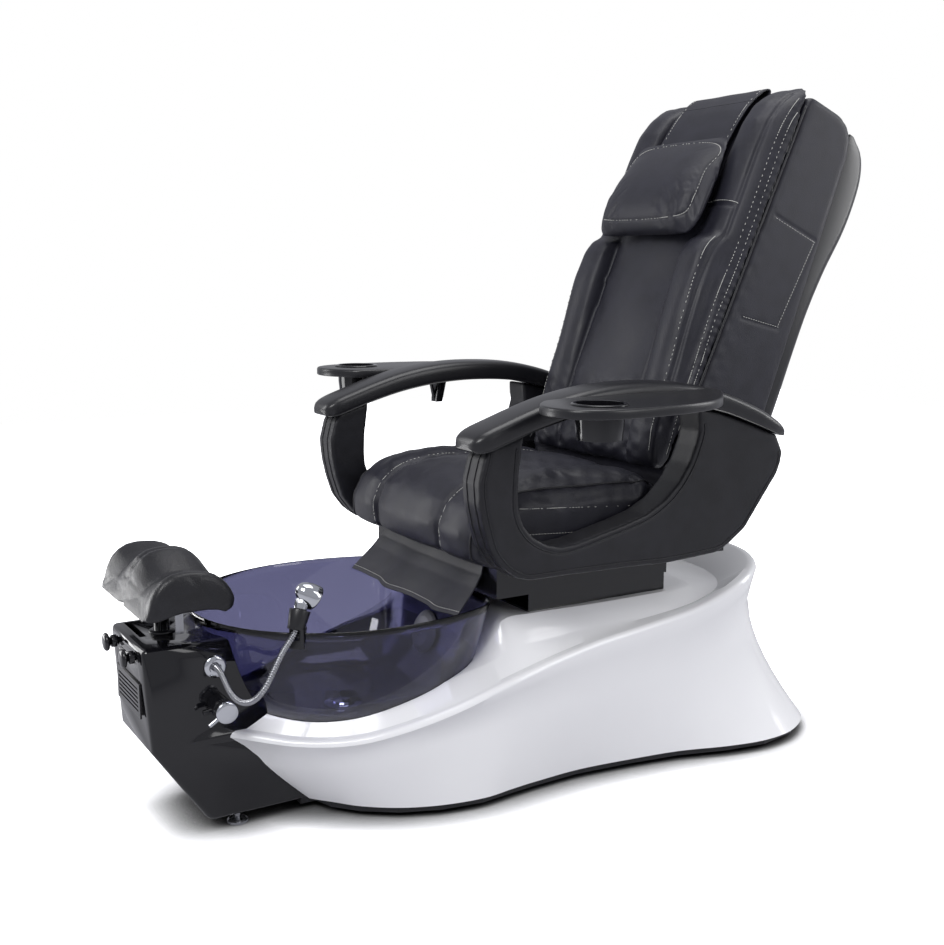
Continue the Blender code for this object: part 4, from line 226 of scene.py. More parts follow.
# Brushed stainless steel: fine scratches make the highlight long and soft.
STEEL, tree, shader = finish("brushed_stainless", "#9d9ea2", 0.24, Metallic=1.0, Anisotropic=0.4)
where = add(tree, "ShaderNodeMapping", {"Vector": place(tree), "Scale": (60.0, 60.0, 1400.0)})
where = where.outputs[0]
raise_bumps(tree, shader, (noise(tree, where, 1.0), 0.00001))
# Powder coat: baked polyester powder, black with a slight orange peel of 2 mm.
POWDER = moulded("powder_coat_black", "#0a0a0c", "#0f0f12", 0.16, spark=0.002, depth=0.00002)
print("metals", [made.name for made in (CHROME, STEEL, POWDER)])

# %% [markdown]
# ## The smoked basin
#
# The foot basin is one thick acrylic bowl, tinted violet grey and half clear, so the far wall
# shows pale and the near wall dark. Real transmission with a tint gives both from one
# material, because light from the near wall has passed through more of it.

# %% Smoked acrylic
ACRYLIC, tree, shader = finish("smoked_acrylic", "#8181a5", 0.02, Transmission_Weight=1.0, IOR=1.49)
where = place(tree)
two_tones(tree, shader, noise(tree, where, 4.0), "#7c7ca0", "#8686aa")
raise_bumps(tree, shader, (noise(tree, where, 7.0, 0.0), 0.0003))
print("basin finish", ACRYLIC.name)

# %% [markdown]
# ## Surfaces from formulas
#
# Every new piece is a sheet of points worked out as whole arrays: a grid with two directions,
# a circle carried along a path, or a profile turned round an axis. The faces follow from the
# grid's size alone, so one function numbers them for all pieces.

# %% Grids and paths
def grid_faces(rows, columns, round_rows=False, round_columns=False):
    """Quads of a grid of points numbered row by row; a round direction joins its two ends."""
    r = np.arange(rows if round_rows else rows - 1)[:, None]
    c = np.arange(columns if round_columns else columns - 1)[None, :]
    r_next, c_next = (r + 1) % rows, (c + 1) % columns
    corners = np.broadcast_arrays(r * columns + c, r * columns + c_next,
                                  r_next * columns + c_next, r_next * columns + c)
    return np.stack(corners, axis=-1).reshape(-1, 4)


def through(points, samples=0, between=0, closed=False):
    """Catmull-Rom curve through points: evenly spaced samples, or rows put between them."""
    points = np.asarray(points, float)
    if closed:
        padded = np.vstack([points[-1:], points, points[:2]])
    else:
        padded = np.vstack([2 * points[0] - points[1], points, 2 * points[-1] - points[-2]])
    a, b, c, d = (padded[i:len(padded) - 3 + i][:, None] for i in range(4))
    steps = between + 1 if between else 24
    t = (np.arange(steps) / steps)[None, :, None]
    dense = 0.5 * (2 * b + (c - a) * t + (2 * a - 5 * b + 4 * c - d) * t ** 2
                   + (3 * b - a - 3 * c + d) * t ** 3)
    dense = np.vstack([dense.reshape(-1, points.shape[1]), points[:1] if closed else points[-1:]])
    if not samples:
        return dense
    along = np.concatenate([[0], np.cumsum(np.linalg.norm(np.diff(dense, axis=0), axis=1))])
    wanted = np.linspace(0, along[-1], samples, endpoint=not closed)
    return np.stack([np.interp(wanted, along, column) for column in dense.T], axis=1)


print("a ring of 8 points needs", len(grid_faces(2, 8, False, True)), "faces to the next ring")

# %% [markdown]
# ## Carried circles and turned profiles
#
# A hose, a welt and a pull knob are all round. A curve object with a bevel could draw the
# first two and a screw modifier the third, but arrays give each ring its own radius.

# %% Tubes and turned parts
def run_of(path):
    """Length of a path: the sum of its steps."""
    return float(np.linalg.norm(np.diff(path, axis=0), axis=1).sum())


def unit(vectors):
    """v / |v| for each row."""
    return vectors / np.linalg.norm(vectors, axis=-1, keepdims=True)


def frames(path, across):
    """At each path point: along it, across it (nearest to the given direction), and up."""
    ahead = unit(np.gradient(path, axis=0))
    across = np.broadcast_to(np.asarray(across, float), path.shape)
    side = unit(across - np.sum(across * ahead, axis=1, keepdims=True) * ahead)
    return ahead, side, np.cross(ahead, side)


def tube(path, radius, across, sides=10):
    """Circle carried along a path: point + r (cos a side + sin a up). Its ends are capped."""
    path = np.asarray(path, float)
    radius = np.broadcast_to(np.asarray(radius, float), len(path)).copy()
    path = np.vstack([path[:1], path, path[-1:]])
    radius = np.concatenate([[1e-5], radius, [1e-5]])
    _, side, up = (np.vstack([v[:1], v, v[-1:]]) for v in frames(path[1:-1], across))
    angle = np.linspace(0, 2 * math.pi, sides, endpoint=False)
    ring = np.cos(angle)[None, :, None] * side[:, None] + np.sin(angle)[None, :, None] * up[:, None]
    points = path[:, None] + radius[:, None, None] * ring
    return points.reshape(-1, 3), grid_faces(len(path), sides, False, True)


def turned(profile, start, direction, sides=48):
    """Profile of (radius, height) turned round an axis; a closed loop of points."""
    radius, height = np.array(profile, float).T
    axis = unit(np.array(direction, float))
    helper = np.array((0.0, 0.0, 1.0)) if abs(axis[2]) < 0.9 else np.array((0.0, 1.0, 0.0))
    u = unit(np.cross(helper, axis))
    v = np.cross(axis, u)
    angle = np.linspace(0, 2 * math.pi, sides, endpoint=False)
    ring = np.cos(angle)[:, None] * u + np.sin(angle)[:, None] * v
    points = (np.array(start, float) + ring[:, None] * np.maximum(radius, 1e-6)[None, :, None]
              + (axis * height[:, None])[None])
    return points.reshape(-1, 3), grid_faces(sides, len(radius), True, True)


def gather(*parts):
    """Several (points, faces) as one."""
    starts = np.cumsum([0] + [len(points) for points, _ in parts[:-1]])
    return (np.vstack([points for points, _ in parts]),
            np.vstack([faces + start for (_, faces), start in zip(parts, starts)]))

# %% [markdown]
# ## From arrays to a piece
#
# A finished piece sits at the origin with its place in its mesh. Its doubles are merged and
# its faces turned outwards, it rides on one body of the chair, and where it stands for a CAD
# node, that node is hidden. Edges sharper than an angle stay crisp in the shading.

# %% Making a piece
def settle(obj, sharp=35.0):
    """Merges doubles, turns faces outwards, shades smooth up to an angle."""
    bm = bmesh.new()
    bm.from_mesh(obj.data)
    bmesh.ops.remove_doubles(bm, verts=bm.verts, dist=2e-5)
    bmesh.ops.dissolve_degenerate(bm, edges=bm.edges, dist=1e-6)
    bmesh.ops.recalc_face_normals(bm, faces=bm.faces)
    bm.to_mesh(obj.data)
    bm.free()
    obj.data.shade_smooth()
    if sharp:
        obj.data.set_sharp_from_angle(angle=math.radians(sharp))
    return obj


def make(name, shape, material, sharp=35.0, caps=()):
    """A mesh object from (points, faces), with faces of many corners as its caps if it has any."""
    points, faces = shape
    mesh = bpy.data.meshes.new(name)
    mesh.from_pydata(points.tolist(), [], faces.tolist() + list(caps))
    obj = bpy.data.objects.new(name, mesh)
    bpy.context.scene.collection.objects.link(obj)
    mesh.materials.append(material)
    return settle(obj, sharp)


def keep(obj, body, slot, *nodes):
    """The piece rides on a body and stands for CAD nodes; the slot is not used."""
    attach(obj, body)
    if nodes:
        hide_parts(*nodes)
    return obj


def apply_modifiers(obj):
    """Swaps the mesh for what its modifiers give."""
    graph = bpy.context.evaluated_depsgraph_get()
    graph.update()
    mesh = bpy.data.meshes.new_from_object(obj.evaluated_get(graph))
    obj.modifiers.clear()
    obj.data = mesh
    return obj


def cut(obj, *cutters):
    """Takes the cutters' space out of a piece; the cutters are removed."""
    for cutter in cutters:
        step = obj.modifiers.new("cut", "BOOLEAN")
        step.operation, step.solver, step.object = "DIFFERENCE", "EXACT", cutter
    apply_modifiers(obj)
    for cutter in cutters:
        bpy.data.objects.remove(cutter)
    return obj


def rounded(obj, width, segments=3, angle=30.0):
    """Bevel on edges sharper than an angle, then crisp shading."""
    step = obj.modifiers.new("round", "BEVEL")
    step.width, step.segments, step.limit_method = width, segments, "ANGLE"
    step.angle_limit = math.radians(angle)
    step.use_clamp_overlap = True
    return settle(apply_modifiers(obj))


def cad_copy(node, name, material, sharp=35.0):
    """A merged copy of a CAD node's loose triangles, shaded smooth up to an angle."""
    obj = bpy.data.objects.new(name, NODES[node].data.copy())
    bpy.context.scene.collection.objects.link(obj)
    obj.data.materials.clear()
    obj.data.materials.append(material)
    return settle(obj, sharp)


# %% [markdown]
# ## The spray hose
#
# A spiral steel hose leaves a chrome flange on the console's side, sags below it and climbs
# into the hand spray. It is a free cord of a real length, so it comes first: its route is the
# one that the CAD solid follows, and rings of unlike radius make the spiral's turns.

# %% Hose
HOSE_ROUTE = np.array([
    (0.0960, -0.6360, 0.3050), (0.1065, -0.6360, 0.3050), (0.1227, -0.6360, 0.3034),
    (0.1382, -0.6357, 0.2969), (0.1522, -0.6351, 0.2876), (0.1663, -0.6336, 0.2785),
    (0.1813, -0.6305, 0.2715), (0.1971, -0.6255, 0.2687), (0.2124, -0.6191, 0.2713),
    (0.2253, -0.6120, 0.2794), (0.2339, -0.6039, 0.2912), (0.2369, -0.5948, 0.3050),
    (0.2350, -0.5854, 0.3188), (0.2309, -0.5758, 0.3320), (0.2259, -0.5658, 0.3446),
    (0.2211, -0.5549, 0.3566), (0.2176, -0.5432, 0.3682), (0.2147, -0.5328, 0.3811),
    (0.2115, -0.5270, 0.3965),
])
HOSE_RADIUS, HOSE_TURNS = 0.0055, 70

hose_path = through(HOSE_ROUTE, HOSE_TURNS * 8 + 1)
turn = np.arange(len(hose_path)) / 8.0
hose_radii = HOSE_RADIUS - 0.0014 * (0.5 + 0.5 * np.cos(2 * math.pi * turn)) ** 2
hose = make("spiral_hose", tube(hose_path, hose_radii, (0.35, -0.90, 0.25), 20), STEEL, 80.0)
keep(hose, "base", "steel", "spray_hose")

# %% [markdown]
# ## The white base shell
#
# The base is one glass fibre moulding: a flared foot, a crease, a rolled lip and a plateau
# that carries the seat. Each row below is one place round its right-hand half. A smooth curve
# runs from row to row, while the section across stays as it is, with its edges rounded.

# %% Shell rows
SHELL_FOOT_Z, LIP_ROUND, LIP_WIDTH, SHELL_WALL = 0.022, 0.011, 0.030, 0.005
SHELL_ROWS = np.array([   # mm: foot xy; crease, shoulder, groove and edge xyz; middle yz
    (0, -517, 0, -647, 125, 0, -702, 183, 0, -647, 190, 0, -547, 210, -497, 210),
    (60, -492, 58, -612, 125, 58, -659, 183, 50, -612, 196, 40, -527, 210, -487, 210),
    (102, -465, 104, -559, 125, 106, -607, 181, 85, -562, 202, 60, -507, 210, -467, 210),
    (138, -435, 163, -493, 125, 175, -519, 170, 135, -487, 207, 90, -457, 210, -437, 210),
    (182, -397, 213, -422, 138, 226, -432, 172, 180, -417, 213, 120, -407, 215, -397, 215),
    (224, -339, 250, -344, 158, 261, -347, 190, 208, -347, 222, 140, -347, 222, -347, 222),
    (253, -267, 261, -252, 174, 279, -247, 215, 218, -252, 240, 150, -257, 240, -267, 240),
    (266, -187, 268, -157, 186, 284, -157, 241, 232, -162, 264, 190, -162, 272, -162, 272),
    (259, -122, 269, -102, 193, 285, -97, 256, 240, -105, 284, 199, -109, 332, -109, 334),
    (254, -67, 270, -47, 200, 285, -37, 270, 245, -42, 289, 208, -47, 340, -47, 340),
    (250, 39, 271, 48, 209, 285, 58, 288, 249, 58, 297, 214, 58, 340, 58, 340),
    (262, 153, 272, 158, 221, 285, 178, 302, 251, 178, 304, 216, 178, 340, 178, 340),
    (280, 266, 272, 268, 232, 285, 293, 317, 250, 288, 314, 214, 283, 340, 283, 340),
    (312, 371, 266, 368, 255, 279, 383, 337, 238, 358, 322, 202, 338, 340, 338, 340),
    (327, 463, 248, 443, 280, 260, 458, 358, 214, 411, 328, 175, 358, 340, 350, 340),
    (312, 553, 212, 503, 292, 222, 515, 372, 168, 453, 331, 125, 366, 340, 357, 340),
    (252, 635, 142, 551, 297, 148, 563, 376, 110, 480, 332, 78, 373, 340, 362, 340),
    (135, 681, 70, 571, 298, 73, 583, 377, 55, 493, 332, 38, 377, 340, 366, 340),
    (0, 693, 0, 577, 298, 0, 589, 377, 0, 498, 332, 0, 379, 340, 368, 340),
]) / 1000
print("shell rows", len(SHELL_ROWS))

# %% [markdown]
# ## The shell's sections
#
# A section runs from the foot up the flare to the crease, round the lip, down into the groove
# and over to the middle. It could be modelled by hand with loop cuts; worked out from its
# row, every section has the same count of points, so one grid joins them all.

# %% Shell sections
def shell_sections(rows):
    """For each row: foot, seven points of the flare, crease, lip, groove, plateau edge, middle."""
    foot = np.column_stack([rows[:, :2], np.full(len(rows), SHELL_FOOT_Z)])
    crease, shoulder, groove, edge = (rows[:, i:i + 3] for i in (2, 5, 8, 11))
    middle = np.column_stack([np.zeros(len(rows)), rows[:, 14:16]])
    inward = (groove - shoulder) * (1, 1, 0)
    inward = unit(inward)
    points = [foot]
    bend = np.interp(rows[:, 1], (-0.367, -0.197), (1.15, 1.6))[:, None]
    for share in (0.10, 0.20, 0.32, 0.45, 0.58, 0.70, 0.82):
        flare = crease + (foot - crease) * (1 - share) ** bend
        flare[:, 2] = foot[:, 2] + (crease[:, 2] - foot[:, 2]) * share
        points.append(flare)
    points += [crease, crease + (shoulder - crease) * 0.5 - (0, 0, 0.25 * LIP_ROUND)]
    for angle in np.radians([0, 18, 36, 54, 72, 90]):
        points.append(shoulder + inward * LIP_ROUND * 0.9 * (1 - math.cos(angle))
                      - np.array((0, 0, LIP_ROUND * (1 - math.sin(angle)))))
    points += [shoulder + inward * LIP_WIDTH * 0.7, groove, groove + (edge - groove) * 0.15,
               groove + (edge - groove) * 0.85, edge, edge + (middle - edge) * 0.1, middle]
    return np.stack(points, axis=1)


# %% [markdown]
# ## The bowl's formula
#
# The bowl is needed before its own turn, because the shell has a hole of its shape. Two half
# ellipses meet at the widest place, and a flat wall cuts the rear off. A high power blends
# the two smoothly where a plain minimum would leave a crease.

# %% Bowl formula
def basin_reach(angle):
    """Centre to rim in plan: two half ellipses whose rear is cut by a flat wall, blended."""
    cosine, sine = np.cos(angle), np.sin(angle)
    axis = np.where(sine < 0, 0.288, 0.350)
    curve = 1 / np.sqrt((cosine / 0.265) ** 2 + (sine / axis) ** 2)
    return (curve ** -14.0 + (0.218 / np.maximum(sine, 0.02)) ** -14.0) ** (-1 / 14.0)


BASIN_CENTRE_Y, BASIN_RIM_Z, BASIN_WALL, DRAIN_RADIUS = -0.347, 0.377, 0.005, 0.032
BASIN_PROFILE = np.array([  # share of the way from the drain to the rim, height
    (0.00, 0.150), (0.20, 0.152), (0.42, 0.160), (0.60, 0.176), (0.73, 0.203),
    (0.82, 0.235), (0.88, 0.270), (0.93, 0.310), (0.965, 0.345), (1.00, BASIN_RIM_Z),
])


def basin_rings(offset, sides=160):
    """Rings from the drain to the rim, moved outwards along the profile's normal."""
    share, height = through(BASIN_PROFILE, 44).T
    angle = np.linspace(0, 2 * math.pi, sides, endpoint=False)
    mean = DRAIN_RADIUS + (0.265 - DRAIN_RADIUS) * share
    run, rise = np.gradient(mean), np.gradient(height)
    length = np.hypot(run, rise)
    radius = DRAIN_RADIUS + (basin_reach(angle)[None] - DRAIN_RADIUS) * share[:, None]
    radius = radius + offset * (rise / length)[:, None]
    level = height - offset * run / length
    level[-1] = BASIN_RIM_Z
    return np.stack([radius * np.cos(angle), BASIN_CENTRE_Y + radius * np.sin(angle),
                     np.broadcast_to(level[:, None], radius.shape)], axis=-1)


# %% [markdown]
# ## The shell and its openings
#
# A mould maker cuts the laminate out for the bowl and the console. Booleans do the same to
# the finished surface, after a solidify modifier has given it its wall.

# %% Shell
def block(name, low, high):
    """A plain box, used to cut."""
    corners = np.array([(x, y, z) for x in (low[0], high[0]) for y in (low[1], high[1])
                        for z in (low[2], high[2])])
    faces = np.array([(0, 1, 3, 2), (4, 6, 7, 5), (0, 4, 5, 1), (2, 3, 7, 6), (0, 2, 6, 4),
                      (1, 5, 7, 3)])
    return make(name, (corners, faces), GELCOAT, 0)


sections = shell_sections(through(SHELL_ROWS, between=5))
sections[0, :, 0] = sections[-1, :, 0] = 0.0
mirrored = sections[::-1] * (-1, 1, 1)
whole = np.concatenate([sections, mirrored[1:-1]])
shell_points = whole.reshape(-1, 3)
shell_faces = grid_faces(len(whole), whole.shape[1], True)
shell = make("white_shell", (shell_points, shell_faces), GELCOAT, 0)
wall = shell.modifiers.new("wall", "SOLIDIFY")
wall.thickness, wall.offset = SHELL_WALL, -1.0
outer = basin_rings(BASIN_WALL + 0.0008, 96)
top = outer[-1:] + (0, 0, 0.08)
centre = np.array((0, BASIN_CENTRE_Y, 0))
floor_ring, lid = [(ring - centre) * (1e-4, 1e-4, 1) + centre for ring in (outer[:1], top)]
cutter_rings = np.concatenate([floor_ring, outer, top, lid])
basin_room = make("basin_room", (cutter_rings.reshape(-1, 3),
                                 grid_faces(len(cutter_rings), 96, False, True)), GELCOAT, 0)
console_room = block("console_room", (-0.1008, -0.90, -0.05), (0.1008, -0.4062, 0.50))
cut(shell, console_room, basin_room)
rounded(shell, 0.0015, 2, 28)
keep(shell, "base", "white_gelcoat", "base_shell")
print("shell triangles", len(shell.data.polygons))

# %% [markdown]
# ## The bowl
#
# The same formula at two offsets gives the bowl's inside and outside. The rim between them is
# rolled over by half a circle, because acrylic edges are flame polished.

# %% Bowl
inner, outer = basin_rings(0.0), basin_rings(BASIN_WALL)
half_turn = np.linspace(0, math.pi, 7)[1:-1, None, None]
centre_line = (inner[-1] + outer[-1]) / 2 - (0, 0, BASIN_WALL / 2)
roll = (centre_line + (inner[-1] - outer[-1]) / 2 * np.cos(half_turn)
        + np.array((0, 0, BASIN_WALL / 2)) * np.sin(half_turn))
bowl_rings = np.concatenate([inner[:-1], roll, outer[:-1][::-1]])
bowl_faces = grid_faces(len(bowl_rings), 160, True, True)
bowl = make("smoked_bowl", (bowl_rings.reshape(-1, 3), bowl_faces), ACRYLIC, 60)
keep(bowl, "base", "tinted_clear", "basin")
print("bowl faces", len(bowl.data.polygons))

# %% [markdown]
# ## Console, taps and footrest post
#
# The console's faces are flat with rolled edges, which the CAD solid has already, so a merged
# copy with smooth shading is enough. Round parts are turned again with more sides: each is
# one profile of radius and height, which is also how a lathe or a mould maker sees it.

# %% Console and round parts
keep(cad_copy("console_shell", "console_case", ABS_GLOSS, 40),
     "base", "black_gloss", "console_shell")
keep(cad_copy("footrest_post", "footrest_column_tube", POWDER, 50),
     "footrest_column", "black_steel", "footrest_post")

POST_Y, CONSOLE_TOP_Z = -0.697, 0.352
KNOB_X, KNOB_Z, KNOB_FRONT_Y = 0.055, 0.331, -0.788
BUSHING_Y = -0.7645
HOSE_HOLE, MIXER = (0.100, -0.636, 0.305), (0.100, -0.635, 0.237)
FRONT, SIDE, UP = (0, -1, 0), (1, 0, 0), (0, 0, 1)
KNOB = [(0.0, 0.0), (0.004, -0.0001), (0.0100, -0.0008), (0.0135, -0.0018), (0.0155, -0.0034),
        (0.0165, -0.0055), (0.0163, -0.0075), (0.0150, -0.0092), (0.0115, -0.0106),
        (0.0080, -0.0120), (0.0062, -0.0133), (0.0055, -0.0150), (0.0055, -0.082), (0.0, -0.082)]
BUSHING = [(0.0060, 0.0092), (0.0066, 0.0098), (0.0092, 0.0096), (0.0106, 0.0088), (0.0112, 0.0076),
           (0.0112, 0.0), (0.0060, 0.0)]
ROUND_PARTS = [            # name, CAD node, profile, start, direction, finish, body, slot
    ("post_collar", "post_sleeve",
     [(0.0145, 0.0035), (0.0160, 0.0046), (0.0205, 0.0042), (0.0224, 0.0030), (0.0230, 0.0012),
      (0.0230, 0.0004), (0.0185, 0.0002), (0.0185, -0.150), (0.0145, -0.150)],
     (0, POST_Y, CONSOLE_TOP_Z), UP, ABS_SATIN, "base", "black_satin"),
    ("height_pull", "height_knob", KNOB, (KNOB_X, KNOB_FRONT_Y, KNOB_Z), FRONT, ABS_GLOSS,
     "height_knob", "black_gloss"),
    ("drain_pull", "drain_knob", KNOB, (-KNOB_X, KNOB_FRONT_Y, KNOB_Z), FRONT, ABS_GLOSS,
     "drain_knob", "black_gloss"),
    ("height_collar", "height_bushing", BUSHING, (KNOB_X, BUSHING_Y, KNOB_Z), FRONT, ABS_GLOSS,
     "base", "black_gloss"),
    ("drain_collar", "drain_bushing", BUSHING, (-KNOB_X, BUSHING_Y, KNOB_Z), FRONT, ABS_GLOSS,
     "base", "black_gloss"),
    ("hose_rosette", "hose_flange",
     [(0.0060, 0.0052), (0.0085, 0.0060), (0.0125, 0.0062), (0.0168, 0.0054), (0.0195, 0.0038),
      (0.0205, 0.0018), (0.0205, 0.0004), (0.0060, 0.0004)],
     HOSE_HOLE, SIDE, CHROME, "base", "chrome"),
]
for name, node, profile, start, direction, material, body, slot in ROUND_PARTS:
    keep(make(name, turned(profile, start, direction), material), body, slot, node)
print("turned parts", len(ROUND_PARTS))

# %% [markdown]
# ## The mixing valve
#
# A black body with a stub for its pipe carries a chrome disc with a small lever, which mixes
# hot and cold water. Both are turned profiles with a short rod gathered into the same mesh,
# since the two are one casting.

# %% Mixing valve
def rod(start, end, radius, sides=24):
    """A short round bar with softened ends."""
    start, end = np.array(start), np.array(end)
    length = float(np.linalg.norm(end - start))
    soft = min(0.2 * radius, 0.2 * length)
    return turned([(0.0, 0.0), (radius - soft, 0.0), (radius, soft), (radius, length - soft),
                   (radius - soft, length), (0.0, length)], start, end - start, sides)


x, y, z = MIXER
valve = gather(
    turned([(0.0, 0.0368), (0.0135, 0.0368), (0.0160, 0.0362), (0.0178, 0.0346), (0.0185, 0.0320),
            (0.0185, 0.0004), (0.0, 0.0004)], MIXER, SIDE),
    rod((x + 0.020, y - 0.010, z - 0.002), (x + 0.020, y - 0.032, z - 0.005), 0.0050))
keep(make("mixing_valve", valve, ABS_GLOSS), "base", "black_gloss", "mixer_body")
disc = gather(
    turned([(0.0, 0.0562), (0.0120, 0.0560), (0.0168, 0.0556), (0.0188, 0.0546), (0.0198, 0.0530),
            (0.0200, 0.0510), (0.0200, 0.0410), (0.0192, 0.0386), (0.0170, 0.0376),
            (0.0060, 0.0374), (0.0060, 0.0270), (0.0, 0.0270)], MIXER, SIDE),
    rod((x + 0.047, y - 0.014, z - 0.009), (x + 0.047, y - 0.031, z - 0.020), 0.0042))
keep(make("mixer_disc", disc, CHROME), "mixer_control", "chrome", "mixer_knob")
print("disc points", len(disc[0]))

# %% [markdown]
# ## Hand spray and its holder
#
# The spray is a chrome casting: a knurled nut over the hose's end, a neck, and a bell that
# faces the basin with a dark nozzle plate in it. The nut's flutes come from letting the
# radius rise and fall eighteen times round the axis.

# %% Hand spray
HOSE_END = HOSE_ROUTE[-1]
LEAVES = unit(HOSE_ROUTE[-1] - HOSE_ROUTE[-2])
nut_points, nut_faces = turned(
    [(0.0, 0.0400), (0.0085, 0.0400), (0.0105, 0.0392), (0.0112, 0.0370), (0.0118, 0.0300),
     (0.0112, 0.0240), (0.0105, 0.0192), (0.0088, 0.0180), (0.0085, 0.0095), (0.0078, 0.0085),
     (0.0078, 0.0003), (0.0, 0.0003)], HOSE_END, LEAVES, 72)
along = (nut_points - HOSE_END) @ LEAVES
radial = nut_points - HOSE_END - along[:, None] * LEAVES
spin = np.repeat(np.arange(72) / 72 * 2 * math.pi, 12)
flute = np.where((along > 0.020) & (along < 0.039), 0.030 * np.cos(18 * spin), 0.0)
nut_points = nut_points + radial * flute[:, None]
keep(make("spray_nut", (nut_points, nut_faces), CHROME, 50), "hand_spray", "chrome", "spray_handle")

FACING = unit(np.array((0.10, 0.80, -0.58)))
BELL_BACK = HOSE_END + LEAVES * 0.052 - FACING * 0.012
bell = turned(
    [(0.0, 0.0315), (0.0145, 0.0315), (0.0158, 0.0330), (0.0176, 0.0362), (0.0190, 0.0370),
     (0.0205, 0.0369), (0.0218, 0.0356), (0.0222, 0.0335), (0.0215, 0.0260), (0.0196, 0.0170),
     (0.0172, 0.0095), (0.0120, 0.0012), (0.0085, -0.0015), (0.0045, -0.0034), (0.0, -0.0040)],
    BELL_BACK, FACING, 64)
keep(make("spray_bell", bell, CHROME, 50), "hand_spray", "chrome", "spray_head")
plate = [turned([(0.0, 0.0008), (0.0138, 0.0004), (0.0144, -0.0004), (0.0, -0.0004)],
                BELL_BACK + FACING * 0.0322, FACING, 48)]
NOZZLE = [(0.0, 0.0016), (0.0008, 0.0013), (0.0011, 0.0), (0.0, 0.0)]
flat_u = unit(np.cross(FACING, UP))
flat_v = np.cross(FACING, flat_u)
for count, radius in ((1, 0.0), (6, 0.0045), (12, 0.0092)):
    for a in np.arange(count) / count * 2 * math.pi:
        out = (flat_u * math.cos(a) + flat_v * math.sin(a)) * radius
        plate.append(turned(NOZZLE, BELL_BACK + FACING * 0.0326 + out, FACING, 12))
keep(make("spray_nozzles", gather(*plate), ABS_SATIN), "hand_spray", "chrome")
keep(rounded(cad_copy("spray_holder", "spray_clip", ABS_SATIN), 0.0006, 2, 40),
     "base", "black_satin", "spray_holder")
print("nozzles", len(plate) - 1)

# %% [markdown]
# ## Armrests
#
# Each armrest has a moulded top that rises and falls along its length. One row of numbers is
# a place along it: how far back, how high, half as thick. The section is a rounded slab, and
# the far arm is the near one seen in a mirror, with its faces turned outwards again.

# %% Arm tops
ARM_LINE = np.array([
    (-0.253, 0.690, 0.008), (-0.244, 0.693, 0.015), (-0.223, 0.700, 0.0185),
    (-0.187, 0.712, 0.0190), (-0.137, 0.728, 0.0195), (-0.067, 0.746, 0.0205),
    (0.013, 0.758, 0.0210), (0.103, 0.762, 0.0210), (0.203, 0.756, 0.0210),
    (0.293, 0.738, 0.0205), (0.373, 0.710, 0.0195), (0.427, 0.687, 0.0170),
    (0.458, 0.673, 0.0130), (0.473, 0.666, 0.0080),
])
ARM_INNER_X, ARM_OUTER_X = 0.257, 0.345
ARM_SECTION = np.array([
    (-0.86, -1.0), (0.86, -1.0), (0.97, -0.86), (1.0, -0.50), (1.0, 0.25), (0.93, 0.62),
    (0.70, 0.90), (0.0, 1.0), (-0.70, 0.90), (-0.93, 0.62), (-1.0, 0.25), (-1.0, -0.50),
    (-0.97, -0.86),
])
SIDES = (("left", 1.0), ("right", -1.0))


def arm_top(side):
    """Section times half width and thickness at each place; a slab that tapers to its ends."""
    line = through(ARM_LINE, 90)
    line = np.vstack([line[:1], line, line[-1:]])
    section = through(ARM_SECTION, 56, closed=True)
    taper = np.minimum(1.0, 0.62 + 0.38 * (line[:, 2] - 0.008) / 0.0105)
    taper[0] = taper[-1] = 1e-4
    thick = line[:, 2].copy()
    thick[0] = thick[-1] = 1e-6
    middle, half = (ARM_INNER_X + ARM_OUTER_X) / 2, (ARM_OUTER_X - ARM_INNER_X) / 2
    x = side * (middle + section[None, :, 0] * (half * taper)[:, None])
    y = np.broadcast_to(line[:, :1], x.shape)
    z = line[:, 1:2] + section[None, :, 1] * thick[:, None]
    return np.stack([x, y, z], axis=-1).reshape(-1, 3), grid_faces(len(line), 56, False, True)


for label, side in SIDES:
    top = keep(make(label + "_armrest_top", arm_top(side), ABS_SATIN, 50),
               label + "_arm", "black_satin", label + "_arm_top")
    print(top.name, "faces", len(top.data.polygons))

# %% [markdown]
# ## Side trays and cup holders
#
# A tray's plan is a smooth closed curve, and its edge is a quarter of a circle above and a
# smaller one below. The hole is cut for the cup holder, a turned beaker with a wide lip.

# %% Trays
TRAY_TOP_Z, TRAY_THICKNESS = 0.765, 0.017
TRAY_PLAN = np.array([
    (0.3455, -0.063), (0.3575, -0.121), (0.378, -0.148), (0.410, -0.171), (0.440, -0.180),
    (0.470, -0.179), (0.500, -0.167), (0.524, -0.138), (0.536, -0.094), (0.537, -0.037),
    (0.534, 0.013), (0.526, 0.063), (0.508, 0.121), (0.480, 0.165), (0.440, 0.205),
    (0.400, 0.240), (0.370, 0.261), (0.352, 0.261), (0.3455, 0.245),
])
CUP_X, CUP_Y, CUP_RADIUS, CUP_DEPTH = 0.463, -0.087, 0.042, 0.058
CUP_PROFILE = [
    (CUP_RADIUS - 0.0022, 0.0026), (CUP_RADIUS + 0.0005, 0.0033), (CUP_RADIUS + 0.0035, 0.0033),
    (CUP_RADIUS + 0.0057, 0.0024), (CUP_RADIUS + 0.0065, 0.0010), (CUP_RADIUS + 0.0063, 0.0004),
    (CUP_RADIUS - 0.0002, 0.0004), (CUP_RADIUS - 0.0010, -0.034), (CUP_RADIUS - 0.0035, -CUP_DEPTH),
    (0.0, -CUP_DEPTH), (0.0, -CUP_DEPTH + 0.0022), (CUP_RADIUS - 0.0095, -CUP_DEPTH + 0.0022),
    (CUP_RADIUS - 0.0061, -CUP_DEPTH + 0.0050), (CUP_RADIUS - 0.0034, -0.034),
]
